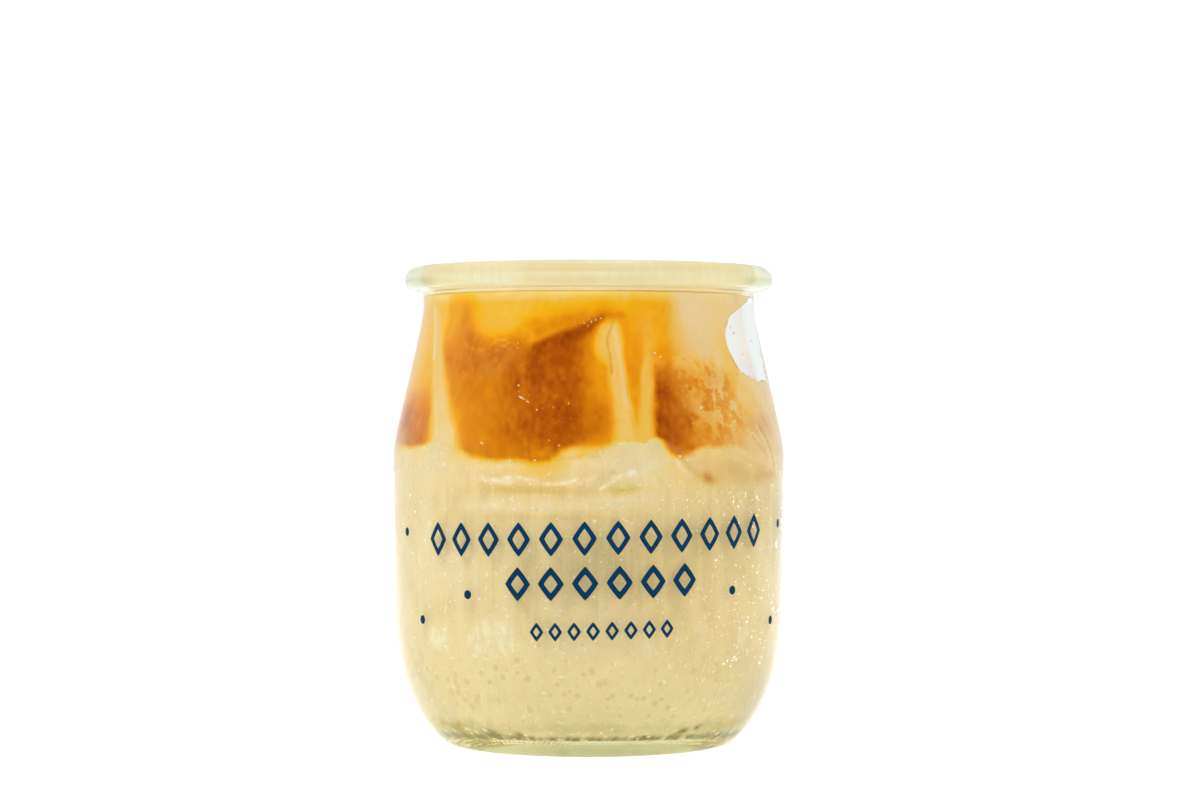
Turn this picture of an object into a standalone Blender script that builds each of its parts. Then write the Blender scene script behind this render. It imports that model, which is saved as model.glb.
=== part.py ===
"""Caramel pudding in a small glass jar.

A turned glass jar with a rolled rim holds two layers that run right through: a pale
custard, and an amber caramel above it. The custard has been drawn up through the caramel,
as a core that ends in a soft swirl and as thin fingers that climb the glass. Beside one
wall the caramel has come away from the glass and leaves an air pocket.

The frame is +Z up, with the origin at the centre of the foot and the front towards -Y.
Angles round the jar are measured from the front, positive towards +X.
"""

import math

import bmesh
import bpy
from mathutils import Vector
from mathutils.geometry import interpolate_bezier

MM = 0.001
ROUND_STEPS = 56

# The jar's outside
JAR_HEIGHT = 80.0 * MM
RIM_RADIUS = 31.15 * MM
BEAD_TOP_RADIUS = 29.2 * MM
BEAD_LEVEL = 77.7 * MM
BEAD_FOOT = 76.0 * MM
NECK_RADIUS = 28.0 * MM
NECK_LEVEL = 73.5 * MM
SHOULDER_HANDLE = 3.4 * MM
BELLY_RADIUS = 33.05 * MM
BELLY_LEVEL = 48.4 * MM
WAIST_RADIUS = 32.75 * MM
HEEL_TOP = 22.8 * MM
HEEL_DROP = 17.0 * MM
FOOT_RADIUS = 23.9 * MM
FOOT_HANDLE = 0.7 * MM
FOOT_LAND = 2.2 * MM
PUNT_DEPTH = 1.2 * MM

# The jar's inside
WALL = 2.0 * MM
NECK_WALL = 1.7 * MM
MOUTH_RADIUS = 27.3 * MM
FLOOR_LEVEL = 4.0 * MM
FLOOR_RADIUS = 22.0 * MM
FLOOR_HANDLE = 3.0 * MM
INNER_HEEL_DROP = 14.3 * MM

# The two layers: where custard meets caramel, and the caramel's free surface
GAP = 0.3 * MM
LAYER_LEVEL = 48.8 * MM
LAYER_WAVE = 0.9 * MM
LAYER_LOBES = 3
LAYER_RINGS = 6
LOWEST_LOBE_ANGLE = -22.0
FINGER_RISE = 2.0 * MM
FINGER_SPREAD = 0.7
SAUCE_LEVEL = 74.2 * MM
SAUCE_RINGS = 9
MENISCUS = 1.1 * MM
MENISCUS_POWER = 14
RIPPLE = 0.3 * MM

# The custard core and its swirl
CORE_CENTRE = Vector((1.5 * MM, 0.5 * MM, 0.0))
CORE_RADIUS = 13.0 * MM
CORE_WAIST = 12.0 * MM
CORE_FOOT_RADIUS = 18.0 * MM
SWIRL_TOP = 75.4 * MM
SWIRL_TIP = 0.5 * MM
SWIRL_TIP_SHARE = 0.18
SWIRL_GROOVE = 0.4 * MM
SWIRL_TURNS = 1.5
SWIRL_RINGS = 8

# Fingers of custard on the glass: foot angle, tip angle, tip level, foot width, tip width
FINGERS = (
    (-49.5, -65.5, 73.0 * MM, 7.0 * MM, 2.7 * MM),
    (12.0, 7.8, 69.6 * MM, 7.2 * MM, 2.9 * MM),
    (20.0, 22.0, 68.6 * MM, 4.4 * MM, 1.5 * MM),
    (127.0, 133.0, 70.8 * MM, 6.4 * MM, 2.4 * MM),
    (161.0, 158.0, 66.5 * MM, 7.4 * MM, 3.0 * MM),
    (204.0, 212.0, 72.0 * MM, 6.0 * MM, 2.2 * MM),
    (238.0, 236.0, 64.5 * MM, 7.6 * MM, 3.2 * MM),
    (272.0, 266.0, 69.6 * MM, 6.2 * MM, 2.2 * MM),
)
FINGER_STATIONS = 6
FINGER_ROOT = 3.0 * MM
FINGER_LEAN = 0.25
FINGER_TIP_SHARE = 0.35

# The air pocket between caramel and glass
POCKET_ANGLE = 84.0
POCKET_DISTANCE = 28.0 * MM
POCKET_LEVEL = 67.5 * MM
POCKET_HALF_SIZES = (20.0 * MM, 6.4 * MM, 7.2 * MM)

GLASS_COLOUR = (0.86, 0.92, 0.84, 1.0)
CUSTARD_COLOUR = (0.83, 0.67, 0.38, 1.0)
CARAMEL_COLOUR = (0.68, 0.26, 0.025, 1.0)

SHARP_ANGLE = math.radians(40.0)
TINY = 0.001 * MM


def clear_scene():
    """Removes every object of the startup scene."""
    for obj in list(bpy.data.objects):
        bpy.data.objects.remove(obj, do_unlink=True)


def make_collection(name, hidden=False):
    """A collection linked to the scene; a hidden one holds pieces that are joined or cut away."""
    collection = bpy.data.collections.new(name)
    bpy.context.scene.collection.children.link(collection)
    collection.hide_render = hidden
    return collection


def empty_collection(collection):
    """Removes a collection of working pieces with all that it holds."""
    for obj in list(collection.objects):
        bpy.data.objects.remove(obj, do_unlink=True)
    bpy.data.collections.remove(collection)


def make_material(name, colour, roughness, transmission=0.0):
    """A Principled material with the part's colour and gloss."""
    material = bpy.data.materials.new(name)
    material.use_nodes = True
    shader = material.node_tree.nodes["Principled BSDF"]
    shader.inputs["Base Color"].default_value = colour
    shader.inputs["Roughness"].default_value = roughness
    shader.inputs["Metallic"].default_value = 0.0
    shader.inputs["Transmission Weight"].default_value = transmission
    return material


def curve_between(start, start_handle, end_handle, end, points):
    """Points of a Bezier curve in the profile plane, as (radius, height) pairs."""
    knots = [Vector((r, z, 0.0)) for r, z in (start, start_handle, end_handle, end)]
    return [(p.x, p.y) for p in interpolate_bezier(*knots, points)]


def quarter(centre, reach, rise, points):
    """A quarter of an ellipse in the profile plane, from its side to its top or its bottom."""
    turns = [0.5 * math.pi * i / (points - 1) for i in range(points)]
    return [(centre[0] + reach * math.cos(t), centre[1] + rise * math.sin(t)) for t in turns]


def without_repeats(points):
    """The outline with each point that repeats the one before it left out."""
    kept = [points[0]]
    for point in points[1:]:
        if math.dist(point, kept[-1]) > TINY:
            kept.append(point)
    return kept


def inner_outline():
    """The jar's inner wall, from the middle of its floor up to the bead's foot."""
    belly = BELLY_RADIUS - WALL
    waist = WAIST_RADIUS - WALL
    neck = NECK_RADIUS - NECK_WALL
    heel = curve_between(
        (FLOOR_RADIUS, FLOOR_LEVEL),
        (FLOOR_RADIUS + FLOOR_HANDLE, FLOOR_LEVEL),
        (waist, HEEL_TOP - INNER_HEEL_DROP),
        (waist, HEEL_TOP),
        8,
    )
    shoulder = curve_between(
        (belly, BELLY_LEVEL),
        (belly, BELLY_LEVEL + SHOULDER_HANDLE),
        (neck, NECK_LEVEL - SHOULDER_HANDLE),
        (neck, NECK_LEVEL),
        6,
    )
    return [(0.0, FLOOR_LEVEL)] + heel + shoulder + [(neck, BEAD_FOOT)]


def rim_outline():
    """The rolled rim, from the mouth's inner edge over the top and round under the bead."""
    centre = (BEAD_TOP_RADIUS, BEAD_LEVEL)
    rise = JAR_HEIGHT - BEAD_LEVEL
    reach = RIM_RADIUS - BEAD_TOP_RADIUS
    inside = quarter(centre, MOUTH_RADIUS - BEAD_TOP_RADIUS, rise, 4)
    over = quarter(centre, reach, rise, 5)
    under = quarter(centre, reach, BEAD_FOOT - BEAD_LEVEL, 4)
    return inside + over[::-1] + under


def outer_outline():
    """The jar's outside, from under the bead down to the middle of the punt."""
    throat = curve_between(
        (BEAD_TOP_RADIUS, BEAD_FOOT),
        (NECK_RADIUS, BEAD_FOOT),
        (NECK_RADIUS, BEAD_FOOT),
        (NECK_RADIUS, NECK_LEVEL),
        5,
    )
    shoulder = curve_between(
        (NECK_RADIUS, NECK_LEVEL),
        (NECK_RADIUS, NECK_LEVEL - SHOULDER_HANDLE),
        (BELLY_RADIUS, BELLY_LEVEL + SHOULDER_HANDLE),
        (BELLY_RADIUS, BELLY_LEVEL),
        7,
    )
    heel = curve_between(
        (WAIST_RADIUS, HEEL_TOP),
        (WAIST_RADIUS, HEEL_TOP - HEEL_DROP),
        (FOOT_RADIUS + FOOT_HANDLE, 0.0),
        (FOOT_RADIUS, 0.0),
        10,
    )
    land = FOOT_RADIUS - FOOT_LAND
    punt = curve_between(
        (land, 0.0),
        (land - FOOT_LAND, PUNT_DEPTH),
        (land - 2.0 * FOOT_LAND, PUNT_DEPTH),
        (0.0, PUNT_DEPTH),
        4,
    )
    return throat + shoulder + heel + punt


def inset(outline, distance):
    """The outline moved sideways by distance, towards the jar's middle."""
    moved = []
    for i, (radius, height) in enumerate(outline):
        before = outline[max(i - 1, 0)]
        after = outline[min(i + 1, len(outline) - 1)]
        along = Vector((after[0] - before[0], after[1] - before[1])).normalized()
        moved.append((max(radius - along.y * distance, 0.0), height + along.x * distance))
    return moved


def turn(name, outline, collection):
    """A solid turned from an outline that runs down its outer side."""
    points = without_repeats(outline)
    mesh = bpy.data.meshes.new(name)
    edges = [(i, i + 1) for i in range(len(points) - 1)]
    mesh.from_pydata([(r, 0.0, z) for r, z in points], edges, [])
    obj = bpy.data.objects.new(name, mesh)
    collection.objects.link(obj)
    screw = obj.modifiers.new("turned", "SCREW")
    screw.axis = "Z"
    screw.angle = math.tau
    screw.steps = ROUND_STEPS
    screw.render_steps = ROUND_STEPS
    screw.use_merge_vertices = True
    screw.merge_threshold = TINY
    screw.use_smooth_shade = True
    return obj


def make_real(obj):
    """Replaces a mesh or a curve with the mesh that its modifiers or its bevel make, welded."""
    graph = bpy.context.evaluated_depsgraph_get()
    made = bpy.data.meshes.new_from_object(obj.evaluated_get(graph))
    if obj.type == "CURVE":
        solid = bpy.data.objects.new(obj.name, made)
        solid.matrix_world = obj.matrix_world
        obj.users_collection[0].objects.link(solid)
        bpy.data.objects.remove(obj, do_unlink=True)
    else:
        solid = obj
        solid.modifiers.clear()
        solid.data = made
    work = bmesh.new()
    work.from_mesh(made)
    bmesh.ops.remove_doubles(work, verts=work.verts, dist=TINY)
    bmesh.ops.recalc_face_normals(work, faces=work.faces)
    work.to_mesh(made)
    work.free()
    return solid


def combine(obj, tool, operation):
    """Joins, trims or cuts the object with another one or with a collection, for good."""
    modifier = obj.modifiers.new(operation.lower(), "BOOLEAN")
    modifier.operation = operation
    modifier.solver = "EXACT"
    if isinstance(tool, bpy.types.Collection):
        modifier.operand_type = "COLLECTION"
        modifier.collection = tool
    else:
        modifier.object = tool
    return make_real(obj)


def angle_of(point):
    """The angle of a point round the jar, in degrees from the front."""
    return math.degrees(math.atan2(point.x, -point.y))


def at_angle(angle, radius, height):
    """The point at an angle round the jar."""
    turned = math.radians(angle)
    return Vector((radius * math.sin(turned), -radius * math.cos(turned), height))


def cavity_radius(height):
    """The radius of the room inside the jar at a height above its heel, less the gap."""
    outline = [p for p in inner_outline() if p[1] >= HEEL_TOP]
    for low, high in zip(outline, outline[1:]):
        if low[1] <= height <= high[1]:
            share = (height - low[1]) / (high[1] - low[1])
            return low[0] + (high[0] - low[0]) * share - GAP
    return outline[-1][0] - GAP


def cavity(name, collection, lid_level, lid_rings):
    """The room inside the jar less the gap, closed by a flat lid with rings to be shaped."""
    walls = inset([p for p in inner_outline() if p[1] < lid_level], GAP)
    edge = cavity_radius(lid_level)
    lid = [(edge * i / lid_rings, lid_level) for i in range(lid_rings + 1)]
    return make_real(turn(name, lid + walls[::-1], collection))


def layer_level(angle):
    """Where custard meets caramel on the glass: low in each lobe, and raised at each finger."""
    rise = 0.0
    for foot_angle, _, _, foot_width, _ in FINGERS:
        away = abs((angle - foot_angle + 180.0) % 360.0 - 180.0)
        spread = math.degrees(foot_width / (BELLY_RADIUS - WALL)) * FINGER_SPREAD
        rise = max(rise, math.exp(-((away / spread) ** 2)))
    lobe = math.cos(math.radians(LAYER_LOBES * (angle - LOWEST_LOBE_ANGLE)))
    return LAYER_LEVEL + FINGER_RISE * rise - LAYER_WAVE * lobe


def base_layer(name, collection, swell):
    """The custard's lower layer, wider than the jar, with its scalloped top."""
    reach = BELLY_RADIUS + WALL
    top = [(reach * i / LAYER_RINGS, LAYER_LEVEL + swell) for i in range(LAYER_RINGS + 1)]
    solid = make_real(turn(name, top + [(reach, 0.0), (0.0, 0.0)], collection))
    for vertex in solid.data.vertices:
        if vertex.co.z > 0.5 * LAYER_LEVEL:
            share = min(vertex.co.xy.length / (BELLY_RADIUS - WALL), 1.0) ** 2
            lift = layer_level(angle_of(vertex.co)) - LAYER_LEVEL
            vertex.co.z += lift * share
    return solid


def swirl_height(distance, turned):
    """The swirl's height over its edge: a dome with one spiral groove and a soft tip."""
    share = min(distance / CORE_RADIUS, 1.0)
    dome = (SWIRL_TOP - SAUCE_LEVEL - SWIRL_TIP) * (1.0 - share**2)
    groove = SWIRL_GROOVE * math.cos(turned - math.tau * SWIRL_TURNS * share)
    tip = SWIRL_TIP * math.exp(-((share / SWIRL_TIP_SHARE) ** 2))
    return dome + groove * math.sin(math.pi * share) + tip


def core(name, collection, swell):
    """The custard drawn up through the caramel, with its swirled top."""
    top = [(CORE_RADIUS * i / SWIRL_RINGS, SAUCE_LEVEL) for i in range(SWIRL_RINGS)]
    rise = SAUCE_LEVEL - LAYER_LEVEL
    flank = curve_between(
        (CORE_RADIUS, SAUCE_LEVEL),
        (CORE_WAIST, LAYER_LEVEL + 0.6 * rise),
        (CORE_WAIST, LAYER_LEVEL + 0.3 * rise),
        (CORE_FOOT_RADIUS, LAYER_LEVEL - FINGER_ROOT),
        6,
    )
    swollen = [(radius + swell, height) for radius, height in flank]
    foot = [(0.0, LAYER_LEVEL - FINGER_ROOT)]
    solid = make_real(turn(name, top + swollen + foot, collection))
    for vertex in solid.data.vertices:
        if vertex.co.z > SAUCE_LEVEL - TINY:
            turned = math.atan2(vertex.co.y, vertex.co.x)
            vertex.co.z += swirl_height(vertex.co.xy.length, turned) + swell
        vertex.co += CORE_CENTRE
    return solid


def finger(name, collection, shape, swell):
    """One finger of custard: a tapered rod that leans on the glass and thins to a soft tip."""
    foot_angle, tip_angle, tip_level, foot_width, tip_width = shape
    foot_level = LAYER_LEVEL - FINGER_ROOT
    curve = bpy.data.curves.new(name, "CURVE")
    curve.dimensions = "3D"
    curve.bevel_depth = 1.0
    curve.bevel_resolution = 2
    curve.use_fill_caps = True
    spline = curve.splines.new("POLY")
    spline.points.add(FINGER_STATIONS)
    for i in range(FINGER_STATIONS + 1):
        share = i / FINGER_STATIONS
        height = foot_level + (tip_level - foot_level) * share
        angle = foot_angle + (tip_angle - foot_angle) * share
        width = tip_width + (foot_width - tip_width) * (1.0 - share) ** 4
        half_width = 0.5 * width * max(math.sqrt(1.0 - share**6), FINGER_TIP_SHARE)
        place = at_angle(angle, cavity_radius(height) - FINGER_LEAN * half_width, height)
        spline.points[i].co = (*place, 1.0)
        spline.points[i].radius = half_width + swell
    obj = bpy.data.objects.new(name, curve)
    collection.objects.link(obj)
    return make_real(obj)


def custard_form(name, collection, swell):
    """Lower layer, core and fingers joined in one solid, which still reaches past the glass."""
    joined = make_collection(name + "_pieces", hidden=True)
    core(name + "_core", joined, swell)
    for number, shape in enumerate(FINGERS, start=1):
        finger(f"{name}_finger_{number}", joined, shape, swell)
    solid = combine(base_layer(name, collection, swell), joined, "UNION")
    empty_collection(joined)
    return solid


def air_pocket(name, collection):
    """The hollow left where the caramel has come away from the glass."""
    bpy.ops.mesh.primitive_uv_sphere_add(segments=28, ring_count=14, radius=1.0)
    pocket = bpy.context.active_object
    pocket.name = name
    for old in list(pocket.users_collection):
        old.objects.unlink(pocket)
    collection.objects.link(pocket)
    pocket.scale = POCKET_HALF_SIZES
    pocket.rotation_euler = (0.0, 0.0, math.radians(POCKET_ANGLE))
    pocket.location = at_angle(POCKET_ANGLE, POCKET_DISTANCE, POCKET_LEVEL)
    bpy.context.view_layer.update()
    return pocket


def sauce_height(share, angle):
    """The caramel's free surface: slow ripples, and a meniscus where it climbs the glass."""
    turned = math.radians(angle)
    ripple = RIPPLE * math.sin(3.0 * turned + 5.0 * share) * math.sin(math.pi * share)
    return SAUCE_LEVEL + MENISCUS * share**MENISCUS_POWER + ripple


def finish(obj, material):
    """Gives a layer its one material and smooth shading between its sharp edges."""
    obj.data.materials.clear()
    obj.data.materials.append(material)
    obj.data.shade_smooth()
    obj.data.set_sharp_from_angle(angle=SHARP_ANGLE)


def make_jar(parts):
    """The glass jar, turned in one piece."""
    jar = turn("jar", inner_outline() + rim_outline() + outer_outline(), parts)
    jar.data.materials.append(make_material("jar_glass", GLASS_COLOUR, 0.03, transmission=1.0))


def make_custard(parts, tools):
    """The pale layer with its core and fingers, trimmed to the jar's inside."""
    custard = custard_form("custard", parts, 0.0)
    custard = combine(custard, cavity("custard_room", tools, JAR_HEIGHT, 1), "INTERSECT")
    finish(custard, make_material("custard_cream", CUSTARD_COLOUR, 0.45))


def make_caramel(parts, tools):
    """The amber layer: what the jar holds above the custard, less the air pocket."""
    caramel = cavity("caramel", parts, SAUCE_LEVEL, SAUCE_RINGS)
    edge = cavity_radius(SAUCE_LEVEL)
    for vertex in caramel.data.vertices:
        if vertex.co.z > SAUCE_LEVEL - TINY:
            share = min(vertex.co.xy.length / edge, 1.0)
            vertex.co.z = sauce_height(share, angle_of(vertex.co))
    caramel = combine(caramel, custard_form("custard_clearance", tools, GAP), "DIFFERENCE")
    caramel = combine(caramel, air_pocket("air_pocket", tools), "DIFFERENCE")
    finish(caramel, make_material("caramel_sauce", CARAMEL_COLOUR, 0.18))


def main():
    """Builds the jar and its two layers."""
    clear_scene()
    parts = make_collection("caramel_pudding")
    tools = make_collection("cutters", hidden=True)
    make_jar(parts)
    make_custard(parts, tools)
    make_caramel(parts, tools)
    empty_collection(tools)


main()
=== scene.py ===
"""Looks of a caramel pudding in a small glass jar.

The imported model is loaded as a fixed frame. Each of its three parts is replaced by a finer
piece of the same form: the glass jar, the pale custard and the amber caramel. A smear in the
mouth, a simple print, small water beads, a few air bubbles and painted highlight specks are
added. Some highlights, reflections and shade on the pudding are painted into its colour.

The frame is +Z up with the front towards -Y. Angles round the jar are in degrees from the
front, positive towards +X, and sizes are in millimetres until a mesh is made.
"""

from __future__ import annotations

import logging
import math
from dataclasses import dataclass, field
from enum import Enum

import bpy
import numpy as np
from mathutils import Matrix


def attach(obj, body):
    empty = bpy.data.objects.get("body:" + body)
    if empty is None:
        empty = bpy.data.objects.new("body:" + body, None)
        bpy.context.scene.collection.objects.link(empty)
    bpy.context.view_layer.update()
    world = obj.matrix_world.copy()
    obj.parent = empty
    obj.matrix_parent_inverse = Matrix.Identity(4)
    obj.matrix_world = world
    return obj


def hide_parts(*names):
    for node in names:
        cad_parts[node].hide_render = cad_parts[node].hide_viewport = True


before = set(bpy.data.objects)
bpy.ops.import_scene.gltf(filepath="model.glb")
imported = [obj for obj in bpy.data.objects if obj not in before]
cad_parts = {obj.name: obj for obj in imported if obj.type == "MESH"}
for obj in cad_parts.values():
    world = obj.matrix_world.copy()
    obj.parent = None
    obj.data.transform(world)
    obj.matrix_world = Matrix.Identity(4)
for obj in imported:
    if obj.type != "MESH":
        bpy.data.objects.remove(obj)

MM = 0.001
FULL_TURN = 360.0
HALF_TURN = 180.0
QUARTER_TURN = 90.0
BODY = "root"

log = logging.getLogger("caramel_pudding")

Array = np.ndarray
Piece = bpy.types.Object
Material = bpy.types.Material
Tree = bpy.types.NodeTree
Node = bpy.types.Node
Socket = bpy.types.NodeSocket
Feed = float | tuple | Socket
Marks = dict[str, Array]
Table = tuple[tuple[float, ...], ...]
Span = tuple[float, float]
Triple = tuple[float, float, float]
Colour = Triple

WHITE: Colour = (1.0, 1.0, 1.0)
# The light mark is painted light: a highlight above nought and shade below it.
TONE_MARKS = ("depth", "milk", "light", "curd")
MARKS = (*TONE_MARKS, "open")


def smooth(low: float | Array, high: float | Array, value: Array) -> Array:
    """A soft step from 0 below low to 1 above high.

    Formula: t squared times (3 - 2t), where t is the share of the way, held between 0 and 1.
    """
    share = np.clip((value - low) / (high - low), 0.0, 1.0)
    return share * share * (3.0 - 2.0 * share)


def bell(value: Array, width: float | Array, power: float = 2.0) -> Array:
    """A soft bump: e to the minus |value / width| to the power."""
    return np.exp(-np.abs(value / width) ** power)


def away(angle: Array, other: float | Array) -> Array:
    """The signed angle from other to angle, the short way round, in degrees."""
    return (angle - other + HALF_TURN) % FULL_TURN - HALF_TURN


def even_angles(count: int) -> Array:
    """One row of angles in even steps round the jar, in degrees."""
    return (np.arange(count) * FULL_TURN / count)[None, :]


def even_turns(count: int) -> Array:
    """One row of angles in even steps round a small section, in radians."""
    return (np.arange(count) * 2.0 * math.pi / count)[None, :]


def bezier(start: Span, first: Span, second: Span, end: Span, count: int) -> Array:
    """Points of a cubic Bezier curve.

    Formula: the four knots weighted by (1-t)^3, 3t(1-t)^2, 3t^2(1-t) and t^3.

    Args:
        start: The first point.
        first: Its handle.
        second: The last point's handle.
        end: The last point.
        count: How many points to give.
    """
    t = np.linspace(0.0, 1.0, count)[:, None]
    a, b, c, d = (np.asarray(knot, float) for knot in (start, first, second, end))
    return (1 - t) ** 3 * a + 3 * t * (1 - t) ** 2 * b + 3 * t**2 * (1 - t) * c + t**3 * d


def respaced(profile: Array, count: int) -> Array:
    """The profile with count points at even steps along it."""
    steps = np.linalg.norm(np.diff(profile, axis=0), axis=1)
    along = np.concatenate([[0.0], np.cumsum(steps)])
    even = np.linspace(0.0, along[-1], count)
    return np.stack([np.interp(even, along, column) for column in profile.T], axis=1)


def round_points(radius: Array, angle: Array, height: Array) -> Array:
    """Points at an angle round the jar: x is r sin a, and y is -r cos a."""
    turned = np.radians(angle)
    radius, turned, height = np.broadcast_arrays(radius, turned, height)
    return np.stack([radius * np.sin(turned), -radius * np.cos(turned), height], axis=-1)


@dataclass
class Shell:
    """A closed surface on a grid of rows and columns, where each row is a loop.

    Attributes:
        points: Rows by columns by three, in millimetres.
        marks: Named values of each point, rows by columns.
        ring: Whether the last row joins the first. If not, each of these two is one point.
        inside_out: Whether the faces have to be turned round to point outwards.
    """

    points: Array
    marks: Marks = field(default_factory=dict)
    ring: bool = False
    inside_out: bool = False

    def corners(self) -> Array:
        """The index of each grid point in the list of points, where a pole has one for all."""
        rows, columns = self.points.shape[:2]
        index = np.arange(rows * columns).reshape(rows, columns)
        if not self.ring:
            index = np.maximum(index - (columns - 1), 0)
            index[0] = 0
            index[-1] = index[-2, -1] + 1
        return index

    def kept(self, values: Array) -> Array:
        """The values of the grid as one list, with one entry for each pole."""
        flat = values.reshape(-1, *values.shape[2:])
        spare = 0 if self.ring else values.shape[1] - 1
        return flat[spare : len(flat) - spare]

    def faces(self) -> tuple[Array, Array]:
        """The quads as an n by 4 array, and the triangles round the poles as an m by 3 one."""
        index = self.corners()
        above = np.roll(index, -1, axis=0)
        quads = np.stack([index, np.roll(index, -1, 1), np.roll(above, -1, 1), above], axis=-1)
        caps = np.zeros((0, 3), int)
        if not self.ring:
            caps = np.concatenate([quads[0][:, [0, 2, 3]], quads[-2][:, [0, 1, 2]]])
            quads = quads[1:-2]
        body = quads.reshape(-1, 4)
        if self.inside_out:
            body, caps = body[:, ::-1], caps[:, ::-1]
        return body, caps


def marked(like: Array, **given: float | Array) -> Marks:
    """All five marks for a grid like the one shown, each nought where no value is given.

    Open says how freely the surface meets the air.
    """
    return {name: np.zeros(like.shape) + given.get(name, 0.0) for name in MARKS}


def stacked(stretches: list[Marks]) -> Marks:
    """The marks of stretches of surface that follow one another."""
    return {name: np.concatenate([marks[name] for marks in stretches]) for name in MARKS}


def put_in_scene(name: str, data: bpy.types.ID) -> Piece:
    """A new object in the scene, at the origin."""
    made = bpy.data.objects.new(name, data)
    bpy.context.scene.collection.objects.link(made)
    return made


def make_piece(name: str, shells: list[Shell], material: Material) -> Piece:
    """Puts one or more closed surfaces into a mesh object that rides on the part.

    Args:
        name: The piece's name.
        shells: The surfaces, which share their marks' names.
        material: The finish of all of them.

    Returns:
        The new object, at the origin.
    """
    points, quads, triangles, start = [], [], [], 0
    for shell in shells:
        body, caps = shell.faces()
        kept = shell.kept(shell.points)
        points.append(kept)
        quads.append(body + start)
        triangles.append(caps + start)
        start += len(kept)
    corners = np.concatenate([np.concatenate(quads).ravel(), np.concatenate(triangles).ravel()])
    sizes = np.repeat((4, 3), (sum(map(len, quads)), sum(map(len, triangles))))
    mesh = bpy.data.meshes.new(name)
    mesh.vertices.add(start)
    mesh.vertices.foreach_set("co", (np.concatenate(points) * MM).astype(np.float32).ravel())
    mesh.loops.add(len(corners))
    mesh.loops.foreach_set("vertex_index", corners.astype(np.int32))
    mesh.polygons.add(len(sizes))
    starts = np.concatenate([[0], np.cumsum(sizes)[:-1]])
    mesh.polygons.foreach_set("loop_start", starts.astype(np.int32))
    mesh.polygons.foreach_set("loop_total", sizes.astype(np.int32))
    mesh.polygons.foreach_set("use_smooth", np.ones(len(sizes), bool))
    mesh.update(calc_edges=True)
    for mark in shells[0].marks:
        values = np.concatenate([shell.kept(shell.marks[mark]) for shell in shells])
        attribute = mesh.attributes.new(mark, "FLOAT", "POINT")
        attribute.data.foreach_set("value", values.astype(np.float32))
    mesh.validate()
    mesh.materials.append(material)
    piece = put_in_scene(name, mesh)
    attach(piece, BODY)
    log.info("%s: %d points, %d faces", name, start, len(sizes))
    return piece


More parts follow.
